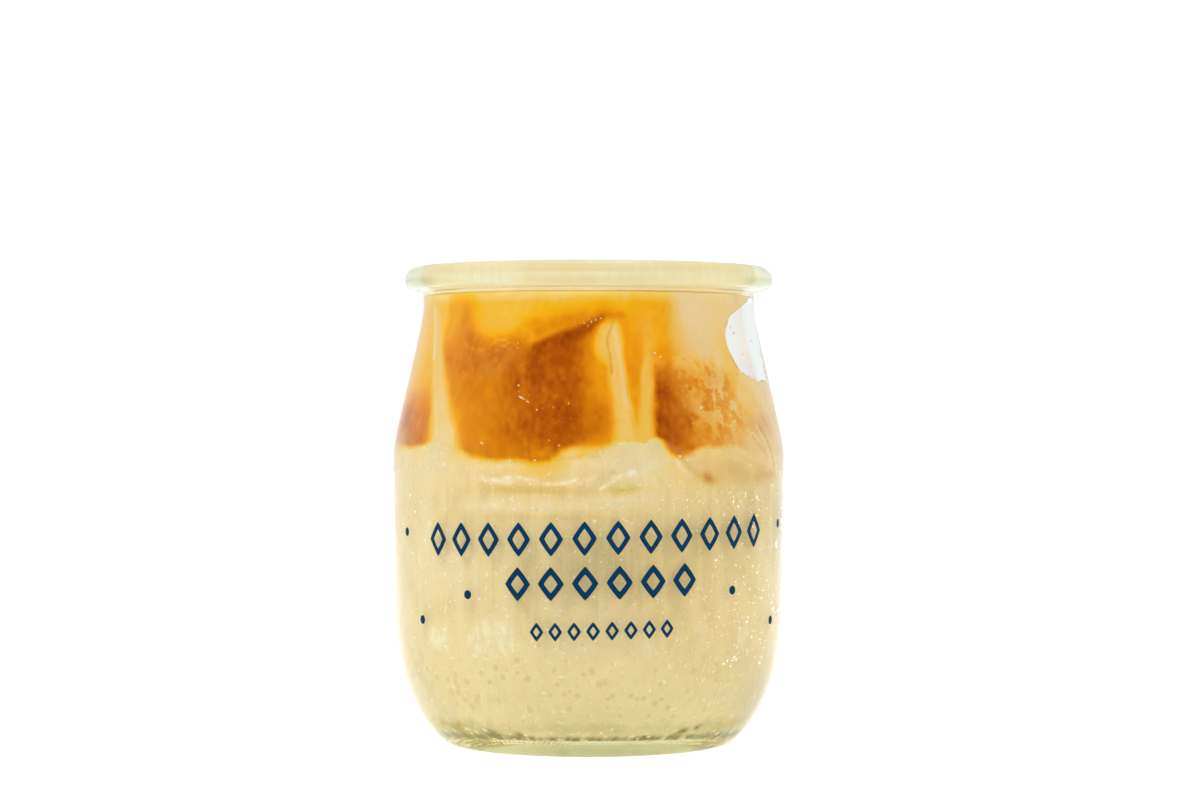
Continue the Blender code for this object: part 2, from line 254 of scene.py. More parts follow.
@dataclass(frozen=True)
class JarForm:
    """The jar's sizes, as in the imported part, and the curves that they give."""

    height: float = 80.0
    rim_radius: float = 31.15
    bead_top_radius: float = 29.2
    bead_level: float = 77.7
    bead_foot: float = 76.0
    neck_radius: float = 28.0
    neck_level: float = 73.5
    shoulder_handle: float = 3.4
    belly_radius: float = 33.05
    belly_level: float = 48.4
    waist_radius: float = 32.75
    heel_top: float = 22.8
    heel_drop: float = 17.0
    foot_radius: float = 23.9
    foot_handle: float = 0.7
    foot_land: float = 2.2
    punt_depth: float = 1.2
    wall: float = 2.0
    neck_wall: float = 1.7
    mouth_radius: float = 27.3
    floor_level: float = 4.0
    floor_radius: float = 22.0
    floor_handle: float = 3.0
    inner_heel_drop: float = 14.3
    side_rows: int = 9
    sample: int = 48

    @property
    def belly_inside(self) -> float:
        """The inner radius at the belly."""
        return self.belly_radius - self.wall

    @property
    def neck_inside(self) -> float:
        """The inner radius of the neck."""
        return self.neck_radius - self.neck_wall

    def inner_wall(self, fineness: int) -> Array:
        """The inside from the floor's edge to the bead's foot, as radius and height."""
        belly, neck, waist = self.belly_inside, self.neck_inside, self.waist_radius - self.wall
        heel = bezier(
            (self.floor_radius, self.floor_level),
            (self.floor_radius + self.floor_handle, self.floor_level),
            (waist, self.heel_top - self.inner_heel_drop),
            (waist, self.heel_top),
            fineness,
        )
        shoulder = bezier(
            (belly, self.belly_level),
            (belly, self.belly_level + self.shoulder_handle),
            (neck, self.neck_level - self.shoulder_handle),
            (neck, self.neck_level),
            fineness,
        )
        side = np.linspace(heel[-1], shoulder[0], self.side_rows)[1:-1]
        return np.concatenate([heel, side, shoulder, [(neck, self.bead_foot)]])

    def rim(self, fineness: int) -> Array:
        """The rolled rim over the mouth, three quarters of ellipses round the bead's middle."""
        rise, drop = self.height - self.bead_level, self.bead_foot - self.bead_level
        inward = self.mouth_radius - self.bead_top_radius
        outward = self.rim_radius - self.bead_top_radius
        turn = np.linspace(0.0, 0.5 * math.pi, fineness)
        across, up = np.cos(turn), np.sin(turn)
        quarters = [
            np.stack([inward * across, rise * up], axis=1),
            np.stack([outward * across, rise * up], axis=1)[-2::-1],
            np.stack([outward * across, drop * up], axis=1)[1:],
        ]
        return np.concatenate(quarters) + (self.bead_top_radius, self.bead_level)

    def outer_wall(self, fineness: int) -> Array:
        """The outside from under the bead down to the foot's edge."""
        throat = bezier(
            (self.bead_top_radius, self.bead_foot),
            (self.neck_radius, self.bead_foot),
            (self.neck_radius, self.bead_foot),
            (self.neck_radius, self.neck_level),
            fineness // 2,
        )
        shoulder = bezier(
            (self.neck_radius, self.neck_level),
            (self.neck_radius, self.neck_level - self.shoulder_handle),
            (self.belly_radius, self.belly_level + self.shoulder_handle),
            (self.belly_radius, self.belly_level),
            fineness,
        )
        heel = bezier(
            (self.waist_radius, self.heel_top),
            (self.waist_radius, self.heel_top - self.heel_drop),
            (self.foot_radius + self.foot_handle, 0.0),
            (self.foot_radius, 0.0),
            fineness,
        )
        side = np.linspace(shoulder[-1], heel[0], self.side_rows)[1:-1]
        return np.concatenate([throat[1:], shoulder[1:], side, heel])

    def foot(self, fineness: int) -> Array:
        """The underside from the foot's flat ring up into the punt."""
        land = self.foot_radius - self.foot_land
        return bezier(
            (land, 0.0),
            (land - self.foot_land, self.punt_depth),
            (land - 2.0 * self.foot_land, self.punt_depth),
            (0.0, self.punt_depth),
            fineness,
        )

    def inner_radius(self, level: Array) -> Array:
        """The inner wall's radius at each height."""
        wall = self.inner_wall(self.sample)
        return np.interp(level, wall[:, 1], wall[:, 0])

    def outer_radius(self, level: Array) -> Array:
        """The outer wall's radius at each height."""
        wall = self.outer_wall(self.sample)[::-1]
        return np.interp(level, wall[:, 1], wall[:, 0])


@dataclass(frozen=True)
class Finger:
    """One finger of custard that climbs the glass, and the smear that it leaves there.

    The smear may lie beside the finger and be wider than it. Towards its foot it leans by so
    many degrees and widens by a power, and it fades out below its tip.
    """

    foot_angle: float
    tip_angle: float
    tip_level: float
    foot_width: float
    tip_width: float
    smear_shift: float = 0.0
    smear_width: float = 1.1
    smear_lean: float = 0.0
    smear_power: float = 4.0
    smear_fade: float = 1.8
    smear_depth: float = 0.17


@dataclass(frozen=True)
class Pool:
    """A stretch of the glass, from its left edge to the next pool's, with caramel behind it.

    Depth runs from 0, where custard shows, to 1, where the caramel is deepest, and milk says
    how much custard has run in. Above a sloping edge a thinner veil lies on the glass. The
    edge's level is that at the left, and its slope is in millimetres to the degree.
    """

    left: float
    blend: float
    deep: float
    veil: float
    edge_level: float
    edge_slope: float = 0.0
    edge_softness: float = 0.9
    deep_milk: float = 0.0
    veil_milk: float = 0.0


@dataclass(frozen=True)
class Wash:
    """What a soft mark on the glass draws the tones towards, or None where it leaves them.

    Depth, milk and curd run from 0 to 1. Light is painted light: a highlight above 0, and
    shade and a few dark marks below it.
    """

    depth: float | None = None
    milk: float | None = None
    light: float | None = None
    strength: float = 1.0
    curd: float | None = None


def tint(depth: float, milk: float, strength: float = 0.8) -> Wash:
    """A wash of caramel or custard that leaves the light alone."""
    return Wash(depth, milk, None, strength)


def painted_light(light: float, strength: float = 0.8) -> Wash:
    """A wash of painted light only: a highlight above nought, shade below it."""
    return Wash(None, None, light, strength)


@dataclass(frozen=True)
class Patch:
    """A soft oval mark, tilted by so many millimetres to the degree."""

    angle: float
    level: float
    half_angle: float
    half_level: float
    wash: Wash
    tilt: float = 0.0
    sharpness: float = 2.0

    def cover(self, angle: Array, level: Array) -> Array:
        """How much of the mark lies at each point.

        Formula: a bell of the distance in half sizes, with a flatter top as it is sharper.
        """
        across = away(angle, self.angle)
        up = level - self.level - self.tilt * across
        return bell(np.hypot(across / self.half_angle, up / self.half_level), 1.0, self.sharpness)


@dataclass(frozen=True)
class Streak:
    """A soft line from one point to another, both as angle and level, bowed to its left."""

    start: Span
    end: Span
    half_width: float
    wash: Wash
    bow: float = 0.0
    mm_per_degree: float = 0.53

    def cover(self, angle: Array, level: Array) -> Array:
        """How much of the line lies at each point.

        Formula: a bell of each point's distance to the side of the line, less the bow's
        parabola, which fades within a width of each end.
        """
        wide = away(self.end[0], self.start[0]) * self.mm_per_degree
        run = np.array([wide, self.end[1] - self.start[1]])
        length = float(np.hypot(*run))
        along = run / length
        x = away(angle, self.start[0]) * self.mm_per_degree
        y = level - self.start[1]
        share = (x * along[0] + y * along[1]) / length
        side = y * along[0] - x * along[1] - 4.0 * self.bow * share * (1.0 - share)
        fade = self.half_width / length
        ends = smooth(-fade, fade, share) * (1.0 - smooth(1.0 - fade, 1.0 + fade, share))
        return bell(side, self.half_width) * ends


@dataclass(frozen=True)
class PuddingForm:
    """The sizes of the two layers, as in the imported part."""

    layer_level: float = 48.8
    layer_wave: float = 0.9
    layer_lobes: int = 3
    lowest_lobe_angle: float = -22.0
    finger_rise: float = 2.0
    finger_spread: float = 0.7
    finger_root: float = 3.0
    finger_lean: float = 0.25
    sauce_level: float = 74.2
    meniscus: float = 1.1
    meniscus_power: float = 14.0
    ripple: float = 0.3
    gap: float = 0.3
    core_centre: Span = (1.5, 0.5)
    core_radius: float = 13.0
    core_waist: float = 12.0
    core_foot_radius: float = 18.0
    swirl_top: float = 75.4
    swirl_tip: float = 0.5
    swirl_tip_share: float = 0.18
    swirl_groove: float = 0.4
    swirl_turns: float = 1.5
    pocket_angle: float = 84.0
    pocket_distance: float = 28.0
    pocket_level: float = 67.5
    pocket_half_sizes: Triple = (20.0, 6.4, 7.2)
    pocket_ragged: float = 0.075
    pocket_waves: tuple[Triple, ...] = ((4, 1.0, 0.6), (7, 0.6, 0.0), (13, 0.4, 1.0))
    pocket_mm_per_degree: float = 0.5
    no_pocket: float = 100.0
    loose: Span = (75.1, 75.4)
    shelf_sink: float = 0.25
    flank_rows: int = 12
    bite: float = 0.1
    film_of_air: float = 0.12
    finger_proud: float = 0.05
    fingers: tuple[Finger, ...] = (
        Finger(-49.5, -65.5, 73, 7, 2.7, -0.5, 0.85, 7, 1.2),
        Finger(12, 7.8, 69.6, 7.2, 2.9, -0.7, 0.98, 1.4, 4, 1.8, 0.21),
        Finger(20, 22, 68.6, 4.4, 1.5, -2, 1.05, -1.7, 1.6, 6.5, 0.28),
        Finger(127, 133, 70.8, 6.4, 2.4),
        Finger(161, 158, 66.5, 7.4, 3),
        Finger(204, 212, 72, 6, 2.2),
        Finger(238, 236, 64.5, 7.6, 3.2),
        Finger(272, 266, 69.6, 6.2, 2.2),
    )

    def boundary(self, angle: Array, jar: JarForm) -> Array:
        """Where custard meets caramel on the glass.

        Formula: the layer's level, less a wave of three lobes, plus the tallest of one bell
        for each finger's foot.
        """
        rise = np.zeros_like(angle)
        for finger in self.fingers:
            spread = np.degrees(finger.foot_width / (jar.belly_radius - jar.wall))
            distance = away(angle, finger.foot_angle)
            rise = np.maximum(rise, bell(distance, spread * self.finger_spread))
        lobe = np.cos(np.radians(self.layer_lobes * (angle - self.lowest_lobe_angle)))
        return self.layer_level + self.finger_rise * rise - self.layer_wave * lobe

    def skin(self, angle: Array, level: Array, jar: JarForm) -> Array:
        """The radius to which the pudding reaches: just into the glass, or off it in the neck.

        Formula: the glass's inner radius plus the bite, less a film of air above a level that
        wanders with two slow waves round the jar.
        """
        wander = 1.2 * np.sin(np.radians(2.0 * angle + 40.0))
        wander = wander + 0.6 * np.sin(np.radians(5.0 * angle))
        loose = smooth(*self.loose, level + 0.1 * wander)
        return jar.inner_radius(level) + self.bite - (self.bite + self.film_of_air) * loose

    def shelf(self, reach: Array, edge: Array, jar: JarForm) -> Array:
        """Where the layers meet away from the glass: level, and up to the edge with the square."""
        part = np.minimum(reach / jar.belly_inside, 1.0) ** 2
        return self.layer_level + (edge - self.layer_level) * part

    def flank(self, foot: Span, clear: float, head: Span) -> Array:
        """The core's flank, as a Bezier curve of radius and height.

        Args:
            foot: Where it starts.
            clear: How far it stays off the core's waist.
            head: Where it ends.

        Returns:
            Its points without the first.
        """
        climb = self.sauce_level - self.layer_level
        waist = [(self.core_waist + clear, self.layer_level + part * climb) for part in (0.3, 0.6)]
        return bezier(foot, *waist, head, self.flank_rows)[1:]

    def sauce(self, share: Array, angle: Array) -> Array:
        """The caramel's top: slow ripples, and a meniscus where it climbs the glass."""
        wave = np.sin(3.0 * np.radians(angle) + 5.0 * share) * np.sin(math.pi * share)
        return self.sauce_level + self.meniscus * share**self.meniscus_power + self.ripple * wave

    def swirl(self, share: Array, angle: Array) -> Array:
        """The swirl's top: a dome with one spiral groove and a soft tip."""
        turned = np.radians(angle - 90.0)
        rise = self.swirl_top - self.sauce_level - self.swirl_tip
        spiral = np.cos(turned - 2.0 * math.pi * self.swirl_turns * share)
        groove = self.swirl_groove * spiral * np.sin(math.pi * share)
        tip = self.swirl_tip * bell(share, self.swirl_tip_share)
        return self.sauce_level + rise * (1.0 - share**2) + groove + tip

    def pocket(self, angle: Array, level: Array) -> Array:
        """The radius at which the air pocket begins along each ray from the jar's axis.

        Formula: the nearer root of the quadratic where the ray meets an ellipsoid with a wavy
        edge, and a large radius where it misses it.
        """
        along, across, up = self.pocket_half_sizes
        aside, rise = away(angle, self.pocket_angle), level - self.pocket_level
        turned = np.radians(aside)
        a = (np.sin(turned) / along) ** 2 + (np.cos(turned) / across) ** 2
        b = -2.0 * np.cos(turned) * self.pocket_distance / across**2
        round_it = np.arctan2(rise, self.pocket_mm_per_degree * aside)
        ragged = sum(
            size * np.sin(count * round_it + start) for count, size, start in self.pocket_waves
        )
        c = (self.pocket_distance / across) ** 2 + (rise / up) ** 2
        c = c - 1.0 - self.pocket_ragged * ragged
        inside = b**2 - 4.0 * a * c
        near = (-b - np.sqrt(np.maximum(inside, 0.0))) / (2.0 * a)
        reached = (inside > 0.0) & (np.abs(aside) < QUARTER_TURN)
        return np.where(reached, near, self.no_pocket)


POOLS = (
    Pool(-96, 4, 0.74, 0.27, 57.5, 0, 6.5, 0.05, 0), Pool(-57, 1.5, 0.58, 0.44, 66.5, 0, 2.6),
    Pool(-41, 4, 0.7, 0.25, 67.5, 0, 2.3, 0, 0), Pool(-19.8, 2.2, 0.85, 0.33, 66.5, 0.17, 0.8),
    Pool(-0.6, 6.5, 0.52, 0.36, 70.2, 0.03, 1), Pool(13.5, 1.5, 0.54, 0.44, 70, 0, 1.4),
    Pool(20.8, 0.8, 0.84, 0.46, 62, 0, 1.6), Pool(31.5, 4.5, 0.7, 0.17, 63.2, 0, 1.3, 0.08, 0.85),
    Pool(44, 4, 0.62, 0.14, 62.4, 0, 1.6, 0.25, 0.5),
    Pool(53, 4, 0.34, 0.13, 58.5, 0, 2.4, 0.3, 0.4), Pool(66, 6, 0.34, 0.18, 56, 0, 3, 0.8, 0.55),
    Pool(94, 7, 0.66, 0.34, 61.5, 0.1, 1.8, 0.2, 0.3),
    Pool(131, 3.5, 0.8, 0.44, 66.6, -0.1, 2, 0, 0.1),
    Pool(160, 4.5, 0.72, 0.38, 65, 0.14, 3.4, 0.1, 0.2), Pool(182, 6, 0.8, 0.44, 68.2, 0.1, 1.8),
    Pool(209, 4, 0.64, 0.27, 66, -0.12, 3.6, 0.3, 0.3), Pool(237, 3.5, 0.8, 0.42, 65.4, 0.16, 1.8),
    Pool(254, 6, 0.68, 0.34, 67, -0.1, 2.8, 0.1, 0.3),
)

# Marks laid over the pools. Most light they set is painted: highlights above nought, shade below.
WASHES = (
    Patch(-84, 61, 12, 8, tint(0.22, 0.05, 0.6)), Patch(-93, 62, 8, 9, tint(0.03, 0.1, 0.9), 0, 4),
    Patch(-96, 56, 9, 3.2, Wash(0.1, 0.3, 0.2, 0.8)), Patch(-86, 50.8, 10, 1.7, tint(0.56, 0.8)),
    Patch(68, 57, 9, 5, painted_light(0.25)), Patch(-74, 54.4, 8, 3.2, tint(0.8, 0.2)),
    Patch(-62, 54.4, 4, 3.6, tint(0.62, 0, 0.7)), Patch(-88, 56, 7, 3, tint(0.52, 0.2, 0.7)),
    Patch(-75, 50.8, 8, 1.6, tint(0.5, 0.9, 0.7)), Patch(-66, 63.5, 3, 3, tint(0.4, 0)),
    Patch(-72, 70, 6, 4, tint(0.2, 0.1, 0.6)), Patch(-49, 72.2, 6.5, 3.4, tint(0.44, 0)),
    Patch(-43.5, 67.4, 6, 2.2, tint(0.71, 0.1, 0.9)), Patch(-44, 63.6, 6, 2.6, tint(0.71, 0.1)),
    Patch(-29.5, 63.6, 9, 2.5, tint(0.71, 0.3, 0.9), 0, 4),
    Patch(-35, 63, 12, 5, Wash(curd=0.1, strength=0.9)),
    Streak((-46, 67), (-36, 65.6), 0.3, tint(0.42, 0.2, 0.5), -0.4),
    Streak((-41, 68.2), (-35, 66.6), 0.22, tint(0.66, 0.2, 0.5), -0.3),
    Streak((-33, 66.9), (-23, 65.6), 0.25, tint(0.38, 0.2, 0.7), 0.6),
    Streak((-31, 66.2), (-24, 64.6), 0.2, tint(0.4, 0.3, 0.6), 0.5),
    Patch(-33, 56, 11, 6, tint(0.61, 0, 0.7)), Patch(-44, 55.6, 4.5, 3.6, tint(0.55, 0, 0.6)),
    Patch(-47, 60.5, 2.4, 5, tint(0.62, 0, 0.7)), Patch(-23.6, 61.4, 2.8, 4.8, tint(0.78, 0, 0.75)),
    Patch(-23, 54, 7, 5, tint(0.75, 0)), Patch(-13.5, 53, 6, 6, tint(0.82, 0, 0.7)),
    Patch(-16.4, 63.3, 3.2, 2.6, tint(0.87, 0), 0, 6), Patch(-6, 54, 6.5, 4.5, tint(0.91, 0, 0.6)),
    Patch(-24, 59.6, 3.2, 1.8, tint(0.75, 0, 0.7)), Patch(-35, 51.2, 7, 1.8, tint(0.56, 0, 0.75)),
    Patch(-25, 49.6, 11, 1.6, tint(0.63, 0, 0.7)), Patch(4.6, 61, 3.4, 6, tint(0.48, 0)),
    Patch(1.5, 49.4, 6, 1, tint(0.08, 0.3, 0.85)),
    Patch(-5.4, 49, 4.2, 1.1, tint(0.08, 0.2, 0.9), 0.14, 3),
    Patch(39, 71.5, 8, 3.6, tint(0.13, 1, 0.85)), Patch(41, 67, 6, 2.6, tint(0.24, 0.95)),
    Patch(52.5, 64.2, 4, 3.6, tint(0.25, 0.05, 0.9), -0.35),
    Patch(58, 58, 6, 3, tint(0.19, 0.25, 0.85), -0.3), Patch(64, 53, 8, 2.4, tint(0.52, 0.9, 0.85)),
    Patch(25, 60, 3.4, 3.4, tint(0.9, 0, 0.5)), Patch(26.5, 52.6, 3.6, 2.6, tint(0.88, 0)),
    Patch(34, 63.2, 10, 1.6, Wash(0.5, 0, None, 0.8, 0.5)),
    Patch(43, 57, 13, 6, Wash(curd=0.85, strength=0.9), 0, 4),
    Patch(50, 55.5, 8, 4.5, tint(0.48, 0.25)),
    Patch(36.5, 58.8, 3.4, 1.8, Wash(0.64, 0, None, 0.8, 0.3)),
    Patch(41, 56, 5, 1.6, tint(0.6, 0.2, 0.6)),
    Patch(36, 52, 5, 2.2, Wash(0.58, 0, None, 0.85, 0.2)),
    Patch(52, 30, 36, 18, tint(0.09, 1, 0.6), 0, 4), Patch(34, 47.3, 9, 1.8, tint(0.25, 1)),
    Patch(52, 46.4, 17, 2.8, tint(0.4, 1, 0.85)),
    Patch(37, 45, 3.4, 0.9, tint(0.72, 1, 0.85), -0.12),
    Patch(45, 45.6, 4, 0.6, tint(0.3, 0.9, 0.7), 0.1),
    Patch(66, 45.2, 9, 1.2, tint(0.56, 1, 0.85), 0.06),
    Patch(60, 50.5, 14, 2.2, tint(0.26, 1, 0.6)),
    Streak((44, 48.6), (58, 45.8), 0.5, Wash(0.24, 1, 0.15, 0.5), 0.3),
    Streak((49, 49.6), (64, 47.2), 0.3, Wash(0.22, 1, 0.2, 0.5), -0.4),
    Streak((63, 53.2), (71, 46.5), 0.16, Wash(0.66, 1, -0.3, 0.7), 0.3),
    Streak((66, 55), (77, 46.5), 0.14, Wash(0.6, 1, -0.3, 0.7), 0.2),
    Streak((58, 51.6), (66, 48), 0.16, Wash(0.56, 1, -0.2, 0.6), -0.2),
    Streak((61, 53.6), (69, 46.8), 0.22, Wash(0.1, 0.8, 0.35, 0.6), 0.3),
    Streak((72, 56), (82, 48), 0.3, Wash(0.12, 0.8, 0.4, 0.6)),
    Streak((55, 52.6), (62, 50.4), 0.2, Wash(0.1, 0.8, 0.3, 0.6), 0.2),
    Patch(74, 50, 6, 2.4, Wash(0.2, 1, 0.2, 0.5)),
    Patch(10, 43.4, 5, 0.4, Wash(0.16, 0.5, -0.55, 0.85)),
    Patch(8, 42.6, 4, 0.3, Wash(0.14, 0.5, -0.45, 0.8)), Patch(6, 43.8, 60, 3.4, painted_light(-0.12, 0.7)),
    Patch(-17, 43.2, 18, 0.75, Wash(0.13, 0.2, -0.3, 0.85)),
    # Painted reflections: the pale bands near level 41.
    Patch(-30, 44.2, 6, 0.4, Wash(0.1, 0.3, -0.2, 0.7)), Patch(-28, 40.6, 9, 0.7, painted_light(0.5)),
    Patch(-8, 40.7, 11, 0.6, painted_light(0.3)), Patch(10, 41.7, 9, 0.8, painted_light(0.38, 0.85)),
    Patch(-8, 38.9, 26, 0.7, Wash(0.08, 0.5, -0.2, 0.7)),
    # Painted highlights along the ridges at the layer's edge, near level 45.
    Streak((-33.5, 45.3), (-22, 44.5), 0.34, painted_light(0.95, 1), -0.25),
    Streak((-25, 45.1), (-14, 44.5), 0.26, painted_light(0.9, 1), 0.3),
    Streak((-12.5, 44.4), (-3, 45.2), 0.26, painted_light(0.85, 1), -0.3),
    Streak((-3, 44.6), (2, 45.4), 0.22, painted_light(0.7, 1), -0.2),
    Streak((3, 43.4), (8, 45.2), 0.22, painted_light(0.8, 1), -0.1),
    Streak((7, 45.3), (13, 46.2), 0.3, painted_light(0.8, 1), -0.2),
    Patch(12.3, 45.8, 1.8, 0.45, painted_light(1, 1)), Patch(17, 46.6, 5, 1.6, painted_light(0.4, 0.9)),
    Streak((19.5, 46), (22.5, 43.8), 0.4, Wash(0.12, 0.9, -0.12, 0.6), 0.2),
    Streak((18, 45.8), (21, 43.6), 0.35, painted_light(0.3, 0.7), 0.2),
    Streak((26, 48.6), (31, 45.4), 0.35, Wash(0.05, 0.6, 0.35, 0.7), -0.2),
    Streak((28, 48.8), (34, 45.2), 0.35, Wash(0.34, 1, -0.1, 0.6), -0.2),
    Patch(4, 47.4, 8, 0.8, painted_light(0.35, 0.9)), Patch(-52, 46.5, 16, 3, painted_light(0.15, 0.9)),
    # Painted highlight near level 47, and painted window reflections low down near level 19.
    Patch(-26, 47, 12, 0.6, painted_light(0.35, 0.9)), Patch(-30, 19.3, 8.5, 2.9, painted_light(0.75, 0.9), 0, 8),
    Patch(-51, 19, 5.5, 1.8, painted_light(0.7, 0.9), 0, 6),
    Patch(53, 19.6, 3, 1.6, painted_light(0.7, 0.9), 0.2, 6), Patch(-56, 34, 3, 5, painted_light(0.35), 0.3),
    Patch(-44, 30, 9, 4, painted_light(0.25), 0.1), Patch(66, 40, 13, 5, Wash(0.12, 0.6, -0.22, 0.7)),
    # Painted shade behind the print, at the sides and to the right; painted light low in front.
    Patch(-46, 24, 13, 3, painted_light(-0.2, 0.7)), Patch(2, 31.5, 20, 6.5, painted_light(-0.34)),
    Patch(40, 34, 30, 7, painted_light(-0.22, 0.7)), Patch(-16, 14, 30, 6, painted_light(0.16)),
    Patch(28, 10, 30, 4, painted_light(0.1)), Patch(-92, 26, 14, 18, painted_light(-0.14), 0, 4),
    Patch(92, 26, 14, 18, painted_light(-0.18), 0, 4), Patch(60, 15, 18, 7, Wash(0.08, 0.8, -0.14, 0.7)),
    Patch(74, 8, 16, 6, painted_light(-0.4, 0.9)), Patch(63, 4.6, 18, 1.5, Wash(0.28, 0.25, -0.1, 0.9)),
    Patch(-64, 4.6, 18, 1.5, Wash(0.28, 0.25, -0.1, 0.9)),
    Patch(-38.3, 4.4, 4.8, 0.6, Wash(0.3, 0.4, -0.65, 0.9), 0, 4),
    Patch(-26.2, 4.5, 2, 0.4, Wash(0.2, 0.5, -0.7, 0.9)),
    Patch(22, 4.3, 1.6, 0.35, Wash(0.2, 0.5, -0.9, 0.9)),
    Patch(36, 4.6, 2.4, 0.4, Wash(0.2, 0.5, -0.9, 0.9), 0.05),
    Patch(42, 5.2, 1.3, 0.3, Wash(0.2, 0.5, -0.9, 0.9), 0.1),
    Patch(-54, 5, 7, 0.8, Wash(0.3, 0.5, -0.5, 0.7)), Patch(118, 47, 16, 2.4, tint(0.26, 1, 0.4)),
    # Painted highlights of the ridges behind, near level 43.
    Patch(192, 46.4, 20, 1.6, tint(0.22, 0.9, 0.6)), Patch(170, 43, 24, 0.7, painted_light(0.3)),
    Patch(240, 44, 20, 0.6, painted_light(0.3)), Patch(262, 48, 12, 2.4, tint(0.28, 1, 0.4)),
    Streak((139, 65.4), (157, 69), 1, tint(0.88, 0, 0.7), 0.2),
    Streak((184, 67.2), (202, 70.4), 1.1, tint(0.9, 0), -0.2),
    Patch(149, 54, 7, 4, tint(0.66, 0, 0.7)), Patch(190, 55, 6, 4, tint(0.9, 0, 0.7)),
    Patch(200, 60, 7, 5, tint(0.7, 0.1, 0.7)),
    Patch(216, 60, 12, 5, Wash(curd=0.6, strength=0.9), 0, 4),
    Patch(248, 55, 6, 4, tint(0.64, 0, 0.7)), Patch(146, 62, 9, 2.6, tint(0.66, 0.4, 0.6), 0.1),
    Patch(222, 58, 9, 4, tint(0.78, 0.1, 0.6), -0.1), Patch(-7, 61.6, 3.6, 3.4, tint(0.8, 0)),
    Patch(-18.4, 53.2, 3, 3.4, tint(0.79, 0, 0.75)),
    Patch(2.4, 54.2, 4.4, 3.6, tint(0.76, 0, 0.85), 0, 3),
    Patch(2, 50.9, 5, 0.9, tint(0.56, 0, 0.7)),
    Streak((-23, 69.4), (11, 71.9), 1.5, tint(0.5, 0, 0.85)),
    Streak((-18.5, 68.2), (-1, 71.2), 1.1, tint(0.63, 0)),
    Streak((-12.5, 66.4), (-3.5, 68.4), 1.1, tint(0.95, 0, 0.85)),
    Patch(-3.4, 68.2, 2.6, 1, tint(0.96, 0, 0.9), 0.2), Patch(-22.8, 59.8, 2, 2, tint(0.85, 0)),
    Patch(-13.2, 49.1, 3.4, 0.9, tint(0.52, 0, 0.85)),
    Patch(-15.8, 50.2, 2.8, 0.9, tint(0.74, 0, 0.7)),
    Patch(-46.6, 69.4, 2.4, 3.6, tint(0.6, 0.05, 0.7)),
    Patch(32.4, 66.6, 3.4, 3.6, tint(0.36, 0.4, 0.6)),
    Streak((-3.5, 68.4), (1.6, 69.8), 1, tint(0.94, 0, 0.85)),
    Streak((5, 74), (28, 74), 0.16, tint(0.26, 0.3, 0.6), 0.1),
)

# Marks on and beside the fingers; the light they set is painted, as in the washes above.
FINGER_WASHES = (
    Patch(6.8, 66.8, 4.8, 3.3, tint(0.19, 0.1, 0.95), 0.06, 6),
    Patch(9.6, 66, 1.4, 4.4, Wash(0.18, 0.25, -0.06, 0.7)),
    Patch(14.4, 67.8, 2, 2.6, tint(0.46, 0)),
    Streak((0.6, 69.8), (6.4, 71), 0.8, tint(0.88, 0, 0.85)),
    Streak((6.4, 70.9), (13, 71), 0.75, tint(0.64, 0, 0.9)),
    # A thin dark line down the second finger: deeper caramel with painted shade.
    Streak((8.8, 70.3), (6.2, 67.4), 0.13, Wash(0.44, 0.3, -0.4, 0.8), 0.15),
    Streak((6.2, 67.4), (7.2, 61.8), 0.13, Wash(0.44, 0.3, -0.4, 0.8), -0.15),
    Streak((8.8, 69.4), (12, 56), 0.45, Wash(0.1, 0.4, 0.12, 0.6)),
    Patch(19.6, 68.4, 3, 3.6, tint(0.27, 0.3, 0.5)),
    Streak((-68, 73), (-60.5, 64), 0.35, Wash(0.06, 0.3, 0.25, 0.8)),
    Patch(-47.5, 51.5, 5, 3, Wash(0, 0.2, 0.05, 0.9)), Patch(-52, 56.5, 4, 3.6, tint(0.07, 0.2)),
    Patch(25.4, 50.8, 2.8, 1.9, tint(0.85, 0, 0.95), -0.35, 4),
    Patch(29, 49.9, 4, 1.3, tint(0.76, 0, 0.9), 0, 4), Patch(32.5, 51.6, 3.6, 1.3, tint(0.68, 0.1)),
    Patch(25.4, 61.7, 4.4, 1.6, tint(0.7, 0.05)), Patch(31.5, 61.2, 4.4, 2, tint(0.56, 0.25, 0.85)),
    Patch(28.6, 58.2, 1.8, 2.4, tint(0.7, 0.1, 0.7)),
    Patch(43, 57.6, 5, 2.2, tint(0.46, 0.5, 0.45)),
    Streak((20.6, 58.6), (20.4, 53.4), 0.5, tint(0.62, 0, 0.45)),
)


class Uneven(Enum):
    """The slow uneven fields, by what each one moves, with the seed that it is drawn from."""

    ANGLE = 3
    HEIGHT = 5
    CLOUD = 9
    FINE = 13
    BASE_RING = 17
    BASE_SHADE = 19
    SMEAR_TOP = 21
    SMEAR_VEIL = 23
    SMEAR_LINES = 27
    CURD = 31
    EDGE = 37
    UNDERSIDE = 41
    UNDERSIDE_FINE = 43


